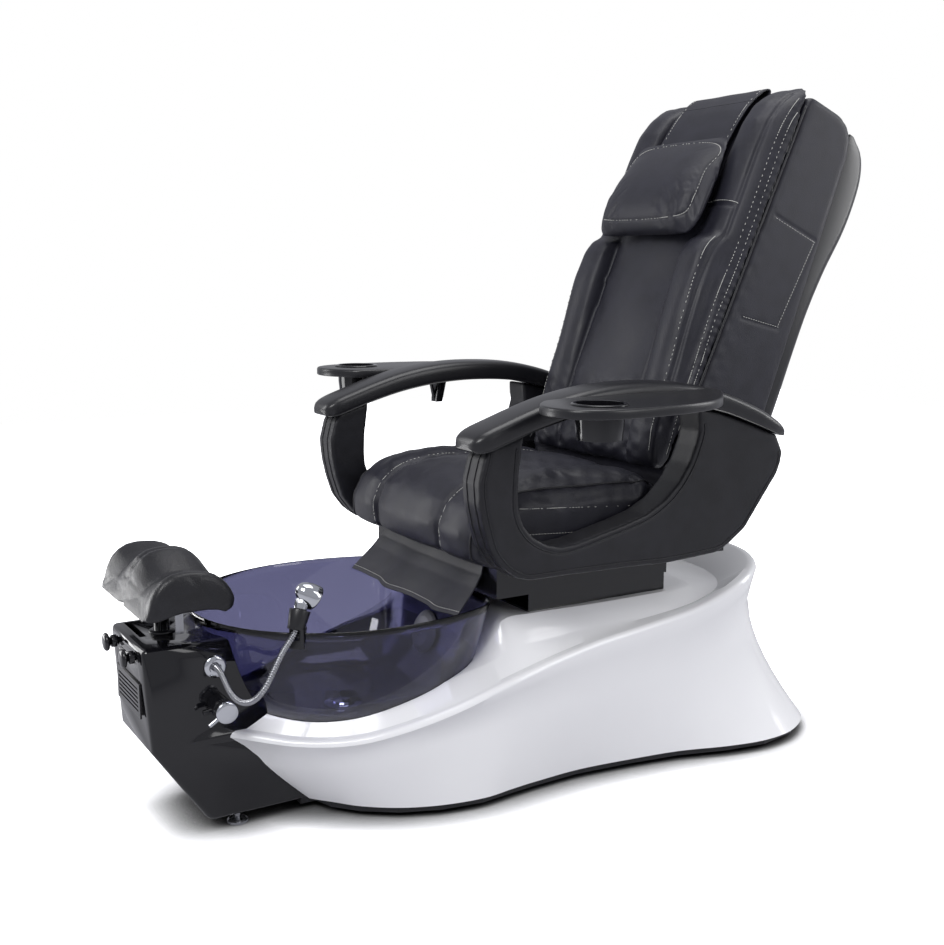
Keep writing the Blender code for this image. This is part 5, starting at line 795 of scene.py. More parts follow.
CUP_HOLE = [(0.0, -0.04), (CUP_RADIUS + 0.0004, -0.04), (CUP_RADIUS + 0.0004, 0.02), (0.0, 0.02)]


def inset(outline, distance):
    """Moves each point of a closed plan inwards along its normal."""
    ahead = unit(np.roll(outline, -1, 0) - np.roll(outline, 1, 0))
    normal = np.column_stack([ahead[:, 1], -ahead[:, 0]])
    if np.sum((outline - outline.mean(0)) * normal) > 0:
        normal = -normal
    return outline + normal * distance


def tray(side):
    """The plan, drawn in by d and lifted by h for each (d, h) of the edge's two arcs."""
    plan = through(TRAY_PLAN, 150)
    edge = [(0.0060, 0.0)]
    edge += [(0.0025 * (1 - math.sin(a)), 0.0025 * (1 - math.cos(a))) for a in (0.5, 1.0, 1.57)]
    edge += [(0.0050 * (1 - math.cos(a)), TRAY_THICKNESS - 0.0050 + 0.0050 * math.sin(a))
             for a in (0.0, 0.4, 0.8, 1.2, 1.57)]
    rings = [np.column_stack([inset(plan, d), np.full(len(plan), TRAY_TOP_Z - TRAY_THICKNESS + h)])
             for d, h in edge]
    return np.array(rings) * (side, 1, 1)


for label, side in SIDES:
    rings = tray(side)
    around = rings.shape[1]
    points, faces = rings.reshape(-1, 3), grid_faces(len(rings), around, False, True)
    below, above = list(range(around)), list(range(len(points) - around, len(points)))
    slab = make(label + "_side_tray", (points, faces), ABS_SATIN, caps=(below, above))
    cup_at = (side * CUP_X, CUP_Y, TRAY_TOP_Z)
    hole = make("hole", turned(CUP_HOLE, cup_at, UP, 72), ABS_SATIN, 0)
    settle(cut(slab, hole), 30)
    keep(slab, label + "_tray", "black_satin", label + "_tray")
    beaker = make(label + "_cup_insert", turned(CUP_PROFILE, cup_at, UP, 72), ABS_GLOSS, 40)
    keep(beaker, label + "_tray", "black_gloss", label + "_cup_holder")
    keep(rounded(cad_copy(label + "_tray_bracket", label + "_tray_stay", POWDER), 0.0008, 2),
         label + "_arm", "black_steel", label + "_tray_bracket")
    print(slab.name, "faces", len(slab.data.polygons))

# %% [markdown]
# ## Rear cover
#
# The back's rear is a moulded cover: flat across the middle, rounded to its sides, deeper
# at the shoulders. It is a loft of half sections, one for each height up the back.

# %% Rear cover and the back's own axes
BACK_TILT = math.radians(21.5)
BACK_PIVOT = np.array((0.0, 0.298, 0.475))
BACK_AXES = np.array([(1, 0, 0), (0, math.sin(BACK_TILT), math.cos(BACK_TILT)),
                      (0, -math.cos(BACK_TILT), math.sin(BACK_TILT))])


def on_back(points):
    """(across, up the back, out of its front) to the chair's frame."""
    return BACK_PIVOT + np.asarray(points) @ BACK_AXES


def from_back(points):
    """The chair's frame to (across, up the back, out of its front)."""
    return (np.asarray(points) - BACK_PIVOT) @ BACK_AXES.T


COVER_DEPTHS = np.array([
    (0.140, 0.135), (0.160, 0.155), (0.205, 0.166), (0.305, 0.171), (0.430, 0.172),
    (0.520, 0.175), (0.610, 0.185), (0.700, 0.202), (0.765, 0.207), (0.820, 0.204),
    (0.860, 0.190), (0.881, 0.168), (0.890, 0.140),
])
COVER_FRONT, COVER_HALF_WIDTH, COVER_CORNER = -0.1125, 0.226, 0.040
rings = []
quarter = np.radians(np.linspace(0, 90, 10))
for height, depth in through(COVER_DEPTHS, 70):
    front, back = COVER_FRONT, -max(depth, 0.1165)
    soft = min(COVER_CORNER, 0.8 * (front - back))
    x = np.concatenate([[0.0, 0.12], COVER_HALF_WIDTH - soft * (1 - np.cos(quarter)), [0.12, 0.0]])
    corner = back + soft * (1 - np.sin(quarter))
    w = np.concatenate([[front, front], corner, [back, back]])
    x[2], w[2] = COVER_HALF_WIDTH, front
    half = np.column_stack([x, w])
    full = np.vstack([half, half[::-1][1:-1] * (-1, 1)])
    rings.append(np.column_stack([full[:, 0], np.full(len(full), height), full[:, 1]]))
rings = np.array(rings)
low, high = (ring * (1e-3, 1, 1e-3) + (0, 0, -0.124) for ring in (rings[:1], rings[-1:]))
rings = np.concatenate([low, rings, high])
cover_faces = grid_faces(len(rings), rings.shape[1], False, True)
cover = make("rear_cover", (on_back(rings.reshape(-1, 3)), cover_faces), ABS_SATIN, 50)
keep(cover, "back", "black_satin", "back_shell")
print("rear cover faces", len(cover.data.polygons))

# %% [markdown]
# ## Sewing a cushion
#
# A cushion starts as its CAD solid, drawn in a little. Voxels turn it into an even mesh and
# round its edges, then Blender's cloth blows it up with air pressure while its seams are
# held, as a foam-filled cover does. No point may travel further than a cap, so a cushion
# never meets its neighbour. One subdivision follows, and last come the sewn lines.

# %% Padded forms
def points_of(obj):
    """All vertices of a mesh as one array."""
    found = np.empty(len(obj.data.vertices) * 3)
    obj.data.vertices.foreach_get("co", found)
    return found.reshape(-1, 3)


def normals_of(obj):
    """All vertex normals of a mesh as one array."""
    found = np.empty(len(obj.data.vertices) * 3)
    obj.data.vertex_normals.foreach_get("vector", found)
    return found.reshape(-1, 3)


def put_points(obj, points):
    """Moves all vertices of a mesh to the places in an array."""
    obj.data.vertices.foreach_set("co", np.ascontiguousarray(points, dtype=np.float32).ravel())
    obj.data.update()


def remeshed(node, name, material, voxel, soften, draw_in, turn=None):
    """A node's solid as an even mesh with soft edges, drawn in along its normals.

    It may be turned first, so that the rows of the mesh run along its seams."""
    obj = cad_copy(node, name, material, 0)
    if turn is not None:
        put_points(obj, turn(points_of(obj)))
    step = obj.modifiers.new("even", "REMESH")
    step.mode, step.voxel_size, step.adaptivity = "VOXEL", voxel, 0.0
    relax = obj.modifiers.new("soften", "SMOOTH")
    relax.factor, relax.iterations = 0.5, soften
    apply_modifiers(obj)
    put_points(obj, points_of(obj) - draw_in * normals_of(obj))
    return obj


AIR_PRESSURE, CLOTH_FRAMES = 4.0, 20


def blown_up(obj, held, cap):
    """Cloth with air inside; held points stay, and the others move no further than the cap."""
    before = points_of(obj)
    group = obj.vertex_groups.new(name="held")
    group.add(np.flatnonzero(held).tolist(), 1.0, "REPLACE")
    cloth = obj.modifiers.new("cover", "CLOTH")
    cover = cloth.settings
    cover.quality, cover.mass = 5, 0.3
    cover.use_pressure, cover.uniform_pressure_force = True, AIR_PRESSURE
    cover.effector_weights.gravity = 0.0
    cover.vertex_group_mass = "held"
    cloth.collision_settings.use_collision = False
    cloth.point_cache.frame_start, cloth.point_cache.frame_end = 1, CLOTH_FRAMES
    for frame_number in range(1, CLOTH_FRAMES + 1):
        bpy.context.scene.frame_set(frame_number)
    apply_modifiers(obj)
    bpy.context.scene.frame_set(1)
    move = points_of(obj) - before
    length = np.linalg.norm(move, axis=1, keepdims=True)
    put_points(obj, before + move * np.minimum(1.0, cap / np.maximum(length, 1e-9)))
    obj.vertex_groups.clear()


def refine(obj):
    """One level of subdivision, then smooth shading."""
    step = obj.modifiers.new("refine", "SUBSURF")
    step.levels = step.render_levels = 1
    apply_modifiers(obj)
    obj.data.shade_smooth()


# %% [markdown]
# ## Seams, stitches and welts
#
# Where two panels are sewn together the surface dips, thread shows as short dashes beside
# the dip, and a welt is a covered cord in the seam. Their lines are shot at the cushion from
# outside, so they lie on whatever form the cloth took. A bump map would be cheaper, but a
# seam is deep enough to see in the outline.

# %% Sewn lines
def near_lines(points, lines):
    """Distance of each point to the nearest sample of some lines, in batches."""
    samples = np.vstack(lines)
    low, high = samples.min(0) - 0.02, samples.max(0) + 0.02
    inside = np.flatnonzero(np.all((points > low) & (points < high), axis=1))
    result = np.full(len(points), 1.0)
    for part in np.array_split(inside, max(1, len(inside) * len(samples) // 4_000_000)):
        gap = points[part][:, None] - samples[None]
        result[part] = np.sqrt(np.min(np.sum(gap * gap, axis=2), axis=1))
    return result


def groove(obj, lines, depth, width):
    """Presses lines into a surface: depth * exp(-(distance / width) ** 2), inwards."""
    points = points_of(obj)
    lines = [through(line, max(20, int(run_of(line) / 0.002))) for line in lines]
    away = near_lines(points, lines)
    put_points(obj, points - normals_of(obj) * (depth * np.exp(-(away / width) ** 2))[:, None])


def laid_on(obj, starts, direction, lift=0.0):
    """Shoots points at a surface along a direction; returns where they land, and the normals."""
    tree = BVHTree.FromObject(obj, bpy.context.evaluated_depsgraph_get())
    aim = np.broadcast_to(np.asarray(direction, float), np.asarray(starts).shape)
    hits = [tree.ray_cast(Vector(start), Vector(along)) for start, along in zip(starts, aim)]
    found = [(place_at, normal) for place_at, normal, _, _ in hits if place_at is not None]
    places = np.array([place_at for place_at, _ in found])
    normals = np.array([normal for _, normal in found])
    return places + normals * lift, normals


STITCH_PITCH, STITCH_LENGTH, THREAD_RADIUS = 0.0062, 0.0043, 0.00065


def stitches(path, normals):
    """Dashes along a path: each is a six-sided bar with pointed ends, sunk a little."""
    both = np.hstack([path, normals])
    if len(both) > 12:
        window = np.hanning(9)[1:-1, None] / np.hanning(9).sum()
        padded = np.vstack([both[:1]] * 3 + [both] + [both[-1:]] * 3)
        both = np.sum([padded[i:i + len(both)] * window[i] for i in range(7)], axis=0)
    count = max(2, int(run_of(both[:, :3]) / STITCH_PITCH))
    both = through(both, count)
    centre, normal = both[:, :3], unit(both[:, 3:])
    ahead = unit(np.gradient(centre, axis=0))
    side = unit(np.cross(ahead, normal))
    angle = np.linspace(0, 2 * math.pi, 6, endpoint=False)
    shape = np.array([(-0.5, 0.0), (-0.42, 0.8), (0.0, 1.0), (0.42, 0.8), (0.5, 0.0)])
    along, size = shape[:, 0] * STITCH_LENGTH, shape[:, 1] * THREAD_RADIUS + 1e-5
    ring = (centre[:, None, None] + ahead[:, None, None] * along[None, :, None, None]
            + (side[:, None, None] * np.cos(angle)[:, None] + normal[:, None, None]
               * np.sin(angle)[:, None]) * size[None, :, None, None])
    faces = grid_faces(len(shape), 6, False, True)
    faces = faces[None] + np.arange(count)[:, None, None] * len(shape) * 6
    return ring.reshape(-1, 3), faces.reshape(-1, 4)


def piping(obj, starts, direction, radius):
    """A welt: a cord covered in the same leather, half sunk along a seam."""
    path, normals = laid_on(obj, starts, direction, 0.0004)
    return tube(path, radius, normals)


STITCHES = {"back": [], "seat": [], "pillow": []}
WELTS = {"back": [], "seat": [], "left_arm": [], "right_arm": []}

# %% [markdown]
# ## The back's upholstery
#
# The front pad has a middle panel, wings that stand out beside it up to the shoulders, and
# side bolsters. The seams between them are the deep lines, and loose creases are sums of
# sines that fade out away from the places where a sitter's weight gathers the leather.

# %% Back pad
IN_FRONT = 0.4            # how far out of the back its lines are shot from


def up_the_back(x, low, high, count=60):
    """A line up the back at one place across it, in front of the pad."""
    height = np.linspace(low, high, count)
    return np.column_stack([np.full(count, x), height, np.full(count, IN_FRONT)])


def on_pad(obj, starts, lift=0.0010):
    """Lines shot straight at the back, in its own axes; back in the chair's frame after that."""
    places, normals = laid_on(obj, starts, (0, 0, -1), lift)
    return on_back(places), normals @ BACK_AXES


PAD_SEAM_X, BOLSTER_SEAM_X = 0.120, 0.2065

pad = remeshed("back_pad", "back_cushion", LEATHER, 0.0065, 5, 0.002, from_back)
across, up, out = points_of(pad).T
held = (out < 0.103 - 0.0640 * up) | (np.abs(np.abs(across) - PAD_SEAM_X) < 0.005)
blown_up(pad, held, 0.007)
refine(pad)
pad_seams = [laid_on(pad, up_the_back(side * x, 0.10, top), (0, 0, -1))[0]
             for side in (-1, 1) for x, top in ((PAD_SEAM_X, 0.565), (BOLSTER_SEAM_X, 0.90))]
shoulder = np.linspace(0, math.pi, 80)
shoulder = np.column_stack([0.205 * np.cos(shoulder), 0.640 + 0.006 * np.sin(shoulder),
                            np.full(80, IN_FRONT)])
pad_seams.append(laid_on(pad, shoulder, (0, 0, -1))[0])
groove(pad, pad_seams, 0.0032, 0.0050)

points = points_of(pad)
across, up, out = points.T
skin = np.clip((out - 0.06) / 0.05, 0, 1)
low_down = np.clip((0.30 - up) / 0.22, 0, 1) * skin
wrinkle = (np.sin(across * 95 + 3.0 * np.sin(up * 31))
           * np.sin(up * 120 + 2.4 * np.sin(across * 23 + 1.0))
           + 0.6 * np.sin(up * 210 + across * 61 + 2.0 * np.sin(across * 47)))
gathers = (np.clip((np.abs(across) - 0.222) / 0.014, 0, 1)
           * np.sin(up * 330 + 2.5 * np.sin(up * 29) + across * 40))
slow = np.sin(up * 34 + 1.5 * np.sin(across * 14))
put_points(pad, points + normals_of(pad) * (0.0016 * low_down * wrinkle + 0.0006 * gathers
                                            + 0.0009 * slow * skin)[:, None])
for side in (-1, 1):
    for x, low, high in ((BOLSTER_SEAM_X - 0.009, 0.12, 0.570), (0.2270, 0.12, 0.895),
                         (0.2350, 0.12, 0.890)):
        line = up_the_back(side * x, low, high, 90)
        STITCHES["back"].append(stitches(*on_pad(pad, line, 0.0008)))
STITCHES["back"].append(stitches(*on_pad(pad, shoulder + (0, 0.008, 0))))
put_points(pad, on_back(points_of(pad)))
keep(pad, "back", "leather", "back_pad")
rim_up = np.linspace(0.10, 0.878, 120)
for side in (-1, 1):
    rim = np.column_stack([np.full(120, side * 0.2440), rim_up, 0.0990 - 0.0640 * rim_up])
    WELTS["back"].append(tube(on_back(rim), 0.0022, (side, 0, 0)))
print("back pad faces", len(pad.data.polygons))

# %% [markdown]
# ## The body behind the pad
#
# An upholstered ring joins the pad to the rear cover, with a flat pocket sewn on each side.
# A pocket's edge is a shallow line pressed into the leather, with a row of stitches inside.

# %% Back body with its side pockets
body = remeshed("back_body", "back_upholstery", LEATHER, 0.0060, 5, 0.0, from_back)
POCKET = np.array([(0.650, 0.029), (0.646, -0.096), (0.445, -0.070), (0.431, 0.031)])
refine(body)
POCKET_EDGES = ((1.0, 0, 1), (1.0, 1, 2), (1.0, 2, 3), (0.93, 1, 2), (0.96, 0, 1), (0.96, 2, 3))
pocket_lines = []
middle = POCKET.mean(0)
for side in (-1, 1):
    for shrink, a, b in POCKET_EDGES:
        ends = middle + (POCKET - middle) * shrink
        edge = np.linspace(ends[a], ends[b], 50)
        starts = np.column_stack([np.full(50, side * 0.40), edge])
        places, normals = laid_on(body, starts, (-side, 0, 0), 0.0004)
        if shrink == 1.0:
            pocket_lines.append(places)
        else:
            STITCHES["back"].append(stitches(on_back(places), normals @ BACK_AXES))
groove(body, pocket_lines, 0.0014, 0.0040)
points = points_of(body)
across, up, out = points.T
slack = np.clip((0.28 - up) / 0.15, 0, 1) + 0.5 * np.clip((out - 0.02) / 0.04, 0, 1)
wrinkle = np.sin(up * 150 + 2.0 * np.sin(out * 60)) + 0.5 * np.sin(up * 260 + out * 90)
put_points(body, on_back(points + normals_of(body) * (0.0007 * slack * wrinkle)[:, None]))
keep(body, "back", "leather", "back_body")
print("back body faces", len(body.data.polygons))

# %% [markdown]
# ## Head pillow
#
# The pillow is one filled cover with a seam round its front. Its rear face is held while the
# cloth is blown up, because there it lies against the back.

# %% Pillow
pillow = remeshed("head_pillow", "head_cushion", LEATHER, 0.0045, 5, 0.001, from_back)
across, up, out = points_of(pillow).T
rear_face = np.interp(up, [0.562, 0.582, 0.608, 0.690, 0.789],
                      [0.150, 0.1375, 0.134, 0.1265, 0.1205])
blown_up(pillow, out < rear_face + 0.004, 0.008)
refine(pillow)
corners = np.array([(0.112, 0.592), (0.140, 0.640), (0.136, 0.700), (0.120, 0.768)])
edge = through(np.vstack([corners, corners[::-1] * (-1, 1)]), 120, closed=True)
edge = np.column_stack([edge, np.full(len(edge), IN_FRONT)])
groove(pillow, [laid_on(pillow, edge, (0, 0, -1))[0]], 0.0012, 0.0032)
STITCHES["pillow"].append(stitches(*on_pad(pillow, edge)))
put_points(pillow, on_back(points_of(pillow)))
keep(pillow, "pillow", "leather", "head_pillow")
print("pillow faces", len(pillow.data.polygons))

# %% [markdown]
# ## The flap and the strap
#
# The pillow hangs on a flap of leather. The flap goes up to a strap that is fixed over the
# back's top, and both are stitched along their edges. Each is a plain strip carried along a
# route, which keeps its flat size, and a solidify modifier gives it a wall.

# %% Flap and strap
def thickened(sheet, thickness):
    """Gives a sheet its wall, half on each side."""
    wall = sheet.modifiers.new("leather", "SOLIDIFY")
    wall.thickness, wall.offset = thickness, 0.0
    apply_modifiers(sheet)


def leather_strip(name, route, half, thickness, body_name, node):
    """A strip over the back: its route given as (up, out), a wall on both sides of it."""
    along, wide = 80, 25
    route = through(route, along)
    rows = np.linspace(-half, half, wide)
    sag = 0.0006 * np.cos(rows / half * 7.0)
    sheet_points = on_back(np.stack([
        np.broadcast_to(rows[None], (along, wide)), np.broadcast_to(route[:, :1], (along, wide)),
        route[:, 1:2] + sag[None]], axis=-1).reshape(-1, 3))
    strip = make(name, (sheet_points, grid_faces(along, wide)), LEATHER, 0)
    thickened(strip, thickness)
    keep(rounded(strip, 0.0006, 2, 40), body_name, "leather", node)
    return strip


FLAP_ROUTE = [(0.640, 0.1292), (0.660, 0.1272), (0.690, 0.1200), (0.720, 0.1120), (0.760, 0.1030),
              (0.800, 0.0945), (0.840, 0.0855), (0.870, 0.0765), (0.8930, 0.0670)]
STRAP_ROUTE = [(0.8935, 0.0668), (0.9150, 0.0545), (0.9285, 0.0440), (0.9330, 0.0345),
               (0.9300, 0.0300), (0.9180, 0.0285), (0.9100, 0.0235), (0.9073, 0.0140),
               (0.9073, -0.0300)]
STRIP = (0.112, 0.0032)    # half its width, its thickness
flap = leather_strip("pillow_hanger", FLAP_ROUTE, *STRIP, "pillow", "pillow_flap")
strap = leather_strip("top_strap", STRAP_ROUTE, *STRIP, "back", "pillow_strap")
for side in (-1, 1):
    for piece, owner, low, high in ((flap, "pillow", 0.800, 0.890), (strap, "back", 0.897, 0.928)):
        starts = on_back(up_the_back(side * 0.104, low, high, 30))
        STITCHES[owner].append(stitches(*laid_on(piece, starts, -BACK_AXES[2], 0.0004)))

# %% [markdown]
# ## Seat cushion
#
# The seat has a middle panel between two sewn channels, a front roll and stitched sides. Its
# lines go round the front roll, so they are shot from a place that turns with it.

# %% Seat
seat = remeshed("seat_cushion", "seat_pad", LEATHER, 0.0065, 5, 0.002)
points = points_of(seat)
held = (points[:, 2] < 0.4560) | (np.abs(np.abs(points[:, 0]) - 0.125) < 0.006)
blown_up(seat, held, 0.006)
refine(seat)


def along_seat(x, count=80):
    """A line over the seat from its rear to under its front roll, and where to look from."""
    angle = np.linspace(0.0, 1.0, count)
    centre = np.stack([np.full(count, x), np.interp(angle, [0, 0.6, 1], [0.20, -0.100, -0.130]),
                       np.full(count, 0.50)], axis=1)
    turned_by = np.interp(angle, [0.55, 1.0], [0.0, math.radians(115)])
    out = np.stack([np.zeros(count), -np.sin(turned_by), np.cos(turned_by)], axis=1)
    return centre + out * 0.30, -out


seat_seams = [laid_on(seat, *along_seat(side * 0.125))[0] for side in (-1, 1)]
groove(seat, seat_seams, 0.0040, 0.0050)
for side in (-1, 1):
    starts, aim = along_seat(side * 0.136)
    STITCHES["seat"].append(stitches(*laid_on(seat, starts, aim, 0.0003)))
    starts, aim = along_seat(side * 0.2405)
    WELTS["seat"].append(tube(laid_on(seat, starts, aim, 0.0004)[0], 0.0024, (1, 0, 0), 10))
    for ends in (((-0.110, 0.556), (0.190, 0.534)), ((-0.095, 0.507), (0.060, 0.497))):
        line = np.column_stack([np.full(60, side * 0.4), np.linspace(*ends, 60)])
        STITCHES["seat"].append(stitches(*laid_on(seat, line, (-side, 0, 0), 0.0005)))
points = points_of(seat)
across, back, up = points.T
flow = (np.sin(back * 70 + 2.0 * np.sin(across * 31)) * np.sin(across * 52 + 1.2)
        + 0.5 * np.sin(back * 150 + across * 80))
top = np.clip((up - 0.50) / 0.06, 0, 1)
put_points(seat, points + normals_of(seat) * (0.0009 * flow * top)[:, None])
keep(seat, "seat", "leather", "seat_cushion")
print("seat faces", len(seat.data.polygons))

# %% [markdown]
# ## The leather apron
#
# The apron hangs from the seat's front edge into the basin, so that water runs back. It is
# one sheet: straight where it is sewn on, with folds that grow towards its free edge. Cloth
# would take long to come to rest over the rim, and these folds are the same in every run.

# %% Apron
APRON_HALF_WIDTH, APRON_SPREAD, APRON_THICKNESS = 0.1985, 0.016, 0.0030
APRON_TOP_Y, APRON_TOP_Z, APRON_DROP = -0.1493, 0.4440, 0.088
wide, deep = 110, 40
u = np.linspace(-1.0, 1.0, wide)[None, :]
drop = np.linspace(0.0, 1.0, deep)[:, None]
fold = (0.0055 * np.sin(7.0 * u) + 0.002 * np.cos(13.0 * u)) * drop
ripple = 0.0006 * np.sin(19.0 * u + 4.0 * drop) * drop ** 1.5
ahead = np.interp(drop, [0, 0.227, 0.477, 0.739, 1.0], [0.0, -0.008, -0.026, -0.049, -0.071])
apron_points = np.stack([
    (APRON_HALF_WIDTH + APRON_SPREAD * drop) * u, APRON_TOP_Y + ahead + fold + ripple,
    np.minimum(0.4438, APRON_TOP_Z - APRON_DROP * drop + 0.004 * u ** 2)], axis=-1)
apron = make("basin_apron", (apron_points.reshape(-1, 3), grid_faces(deep, wide)), LEATHER, 0)
thickened(apron, APRON_THICKNESS)
rounded(apron, 0.0010, 2, 50)
keep(apron, "seat", "leather", "seat_apron")
hem = apron_points[deep - 4] + (0, -0.0019, 0.0006)
STITCHES["seat"].append(stitches(hem, np.broadcast_to((0.0, -0.8, 0.6), hem.shape)))

# %% [markdown]
# ## Arm panels
#
# The side panels are boards wrapped in vinyl with a welt just inside each edge. A welt's line
# is the panel's outline moved inwards, and the surface dips beside it.

# %% Arm panels
ARM_FRONT_EDGE = np.array([
    (-0.2285, 0.683), (-0.2310, 0.664), (-0.2410, 0.625), (-0.2380, 0.585), (-0.2290, 0.544),
    (-0.2150, 0.502), (-0.1910, 0.470), (-0.1620, 0.450), (-0.1330, 0.442), (-0.0340, 0.441),
    (0.0710, 0.439), (0.1670, 0.435), (0.2380, 0.437), (0.3020, 0.441), (0.3310, 0.454),
    (0.3720, 0.481), (0.4120, 0.532), (0.4530, 0.584), (0.4630, 0.608), (0.4645, 0.628),
])
ARM_LOOP_EDGE = np.array([
    (0.2475, 0.695), (0.2480, 0.681), (0.2400, 0.656), (0.2250, 0.622), (0.1980, 0.585),
    (0.1650, 0.557), (0.1220, 0.535), (0.0690, 0.521), (0.0170, 0.510), (-0.0350, 0.499),
    (-0.0700, 0.496), (-0.1000, 0.504), (-0.1290, 0.520), (-0.1490, 0.543), (-0.1590, 0.569),
    (-0.1610, 0.597), (-0.1590, 0.638), (-0.1555, 0.680),
])


def beside_edge(edge, distance):
    """An open plan line moved sideways by a distance, to the right of its direction."""
    line = through(edge, 160)
    ahead = unit(np.gradient(line, axis=0))
    return line + np.column_stack([ahead[:, 1], -ahead[:, 0]]) * distance


for label, side in SIDES:
    panel = remeshed(label + "_arm_panel", label + "_arm_side", VINYL, 0.0045, 4, 0.0)
    refine(panel)
    lines = [beside_edge(edge, -0.011) for edge in (ARM_FRONT_EDGE, ARM_LOOP_EDGE)]
    outside = [np.column_stack([np.full(len(line), side * 0.45), line]) for line in lines]
    groove(panel, [laid_on(panel, starts, (-side, 0, 0))[0] for starts in outside], 0.0012, 0.0030)
    for starts in outside:
        WELTS[label + "_arm"].append(piping(panel, starts, (-side, 0, 0), 0.0012))
    front = through(ARM_FRONT_EDGE, 90)[:34] - (0.12, 0)
    for shift in (-0.012, 0.012):
        starts = np.column_stack([np.full(len(front), side * 0.3025 + shift), front])
        WELTS[label + "_arm"].append(piping(panel, starts, (0, 1, 0), 0.0013))
    keep(panel, label + "_arm", "panel_vinyl", label + "_arm_panel")
    print(panel.name, "faces", len(panel.data.polygons))

# %% [markdown]
# ## Footrest
#
# The footrest is moulded in one piece of foam with its own skin, two cradles and a groove
# between them. The CAD solid has its form, and the cloth step swells it a little.

# %% Footrest
rest = remeshed("footrest_pad", "foot_cradles", FOAM, 0.0042, 4, 0.0015)
points = points_of(rest)
blown_up(rest, points[:, 2] < points[:, 2].min() + 0.008, 0.003)
refine(rest)
keep(rest, "footrest", "moulded_foam", "footrest_pad")
print("footrest faces", len(rest.data.polygons))

# %% [markdown]
# ## Threads and welts
#
# Hundreds of stitches as separate objects would be slow, so each body gets one mesh with all
# its threads and one with all its welts, and they move with it.

# %% Threads and welts
for body_name, parts in STITCHES.items():
    keep(make("stitching_" + body_name, gather(*parts), THREAD, 0), body_name, None)
for body_name, parts in WELTS.items():
    keep(make("welts_" + body_name, gather(*parts), VINYL, 0), body_name, "leather")
print("stitched bodies", list(STITCHES))

# %% [markdown]
# ## What is left of the CAD
#
# Hidden and half-hidden parts keep their CAD meshes, which are right as they are: flat steel,
# turned plastic. Each gets the material that the real one is made of.

# %% Materials for the other nodes
CARRIED = {
    "footrest_plate": STEEL, "footrest_bracket": STEEL, "slide_rod": STEEL, "recline_rod": STEEL,
    "basin_drain": CHROME, "drain_stopper": CHROME, "waste_pipe": ABS_GREY, "jet_housing": ABS_GREY,
    "jet_cover": ABS_GREY, "jet_impeller": ABS_GREY, "massage_rollers": ABS_GREY,
    "massage_carriage": ABS_SATIN, "rail_box": POWDER, "seat_frame": POWDER, "back_frame": POWDER,
    "underframe": POWDER, "base_pan": ABS_SATIN, "slide_actuator": POWDER,
    "recline_actuator": POWDER, "console_grille": ABS_SATIN,
}
for name, node in NODES.items():
    if name.startswith("levelling_foot"):
        CARRIED[name] = STEEL
for name, material in CARRIED.items():
    if name in NODES:
        NODES[name].data.materials.clear()
        NODES[name].data.materials.append(material)
print("carried over", len(CARRIED))

# %% [markdown]
# ## Floor and light
#
# The photograph stands on pure white with a soft dark shadow under the base. The floor and
# the sky look white to the camera only, through the Light Path node, so that reflections
# and shadows stay those of a room with grey walls.

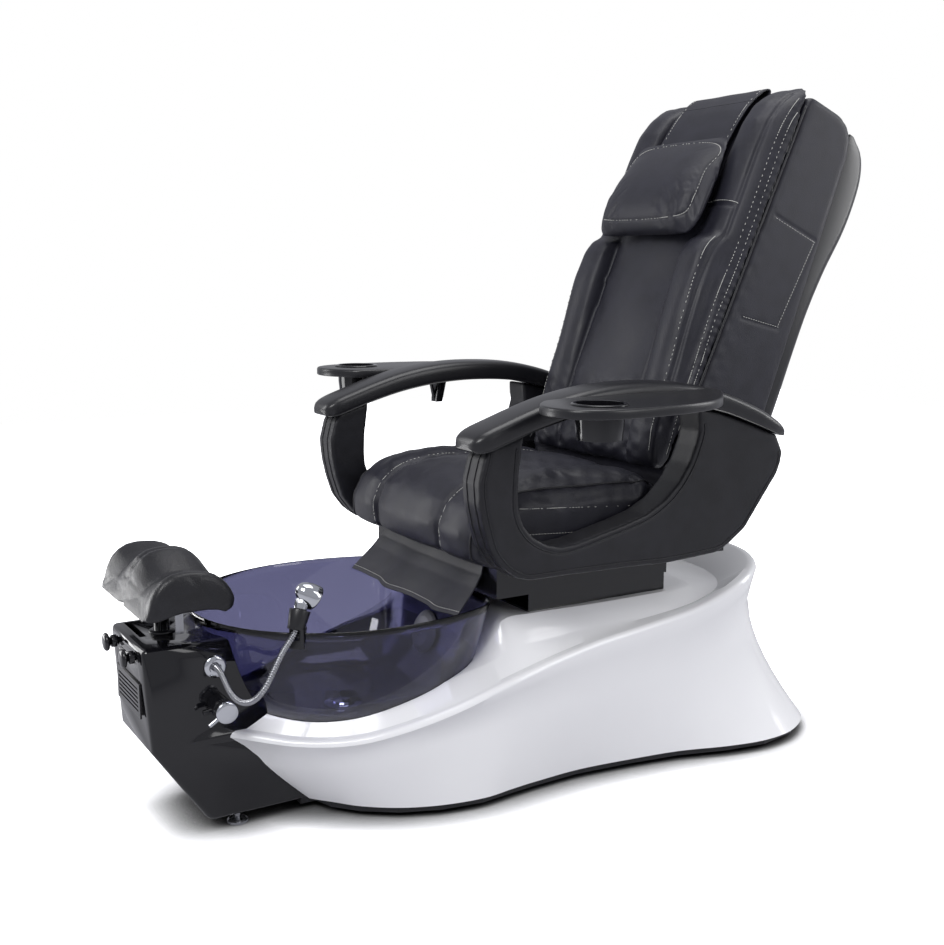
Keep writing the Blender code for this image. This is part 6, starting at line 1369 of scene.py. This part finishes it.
# %% Floor and sky
def stage_material(name):
    """Paper that looks over-exposed to the camera: white wherever light reaches it, so that
    only the shadow under the base stays dark. The share of open sky over each point, raised
    to a power, darkens the paper's colour close to the base: a painted shadow on top of the
    lit one. Far off it turns into plain white."""
    made = bpy.data.materials.new(name)
    made.use_nodes = True
    tree = made.node_tree
    tree.nodes.clear()
    rays = add(tree, "ShaderNodeLightPath")
    seen = rays.outputs["Is Camera Ray"]
    # Painted shadow: ambient occlusion darkens the floor's colour for the camera close to the base.
    open_sky = add(tree, "ShaderNodeAmbientOcclusion", {"Distance": 0.075}, samples=8).outputs["AO"]
    open_sky = add(tree, "ShaderNodeMath", {0: open_sky, 1: 2.0}, operation="POWER").outputs[0]
    bright = add(tree, "ShaderNodeVectorMath", {0: (1.45, 1.45, 1.45), 3: open_sky},
                 operation="SCALE").outputs[0]
    shade = add(tree, "ShaderNodeMix", {0: seen, 6: linear("#bfbfc3"), 7: bright},
                data_type="RGBA").outputs[2]
    paper = add(tree, "ShaderNodeBsdfDiffuse", {"Color": shade}).outputs[0]
    away = add(tree, "ShaderNodeVectorMath", {0: place(tree)}, operation="LENGTH").outputs["Value"]
    far = stretch(tree, away, 0.95, 1.7)
    both = add(tree, "ShaderNodeMath", {0: far, 1: seen}, operation="MULTIPLY").outputs[0]
    glow = add(tree, "ShaderNodeEmission", {"Color": (1, 1, 1, 1), "Strength": both}).outputs[0]
    total = add(tree, "ShaderNodeAddShader", {0: paper, 1: glow}).outputs[0]
    add(tree, "ShaderNodeOutputMaterial", {"Surface": total})
    return made


corners = np.array([(-6, -6, 0), (6, -6, 0), (6, 6, 0), (-6, 6, 0)], float)
floor = make("floor", (corners, np.array([(0, 1, 2, 3)])), stage_material("paper_white"), 0)

world = bpy.data.worlds.new("studio")
bpy.context.scene.world = world
world.use_nodes = True
tree = world.node_tree
tree.nodes.clear()
path_node = add(tree, "ShaderNodeLightPath")
sky = add(tree, "ShaderNodeMix", {0: path_node.outputs["Is Camera Ray"], 6: linear("#b6b7bd"),
                                  7: linear("#ffffff")}, data_type="RGBA")
background = add(tree, "ShaderNodeBackground", {"Color": sky.outputs[2], "Strength": 1.0})
add(tree, "ShaderNodeOutputWorld", {"Surface": background.outputs[0]})
print("stage", floor.name, world.name)

# %% [markdown]
# ## Lamps
#
# Large soft lamps stand round the chair as in a studio. Their sizes matter more than their
# powers: each one is also what the gloss parts mirror.

# %% Lamps
def lamp(name, at, target, size, power):
    """A rectangular area light that looks at a target."""
    data = bpy.data.lights.new(name, "AREA")
    data.shape, data.size, data.size_y, data.energy = "RECTANGLE", *size, power
    made = bpy.data.objects.new(name, data)
    made.location = at
    made.rotation_euler = (Vector(target) - Vector(at)).to_track_quat("-Z", "Y").to_euler()
    bpy.context.scene.collection.objects.link(made)


lamp("key", (1.6, -2.6, 3.0), (0, 0, 0.6), (1.6, 1.6), 74)
lamp("side", (3.2, 1.6, 2.2), (0, 0.2, 0.6), (1.2, 2.4), 29)
lamp("rear", (1.1, 3.0, 1.7), (0, 0.5, 0.9), (0.9, 2.0), 27)
lamp("front", (-2.6, -2.6, 1.8), (0, -0.2, 0.5), (1.2, 2.0), 36)
lamp("top", (0.0, 0.4, 3.6), (0, 0, 0.5), (2.0, 2.0), 45)
lamp("low_card", (-1.35, -1.60, 0.30), (0, -0.78, 0.25), (0.9, 0.45), 7)

bpy.context.scene.view_settings.view_transform = "Standard"
print("lamps", sum(light.type == "AREA" for light in bpy.data.lights))
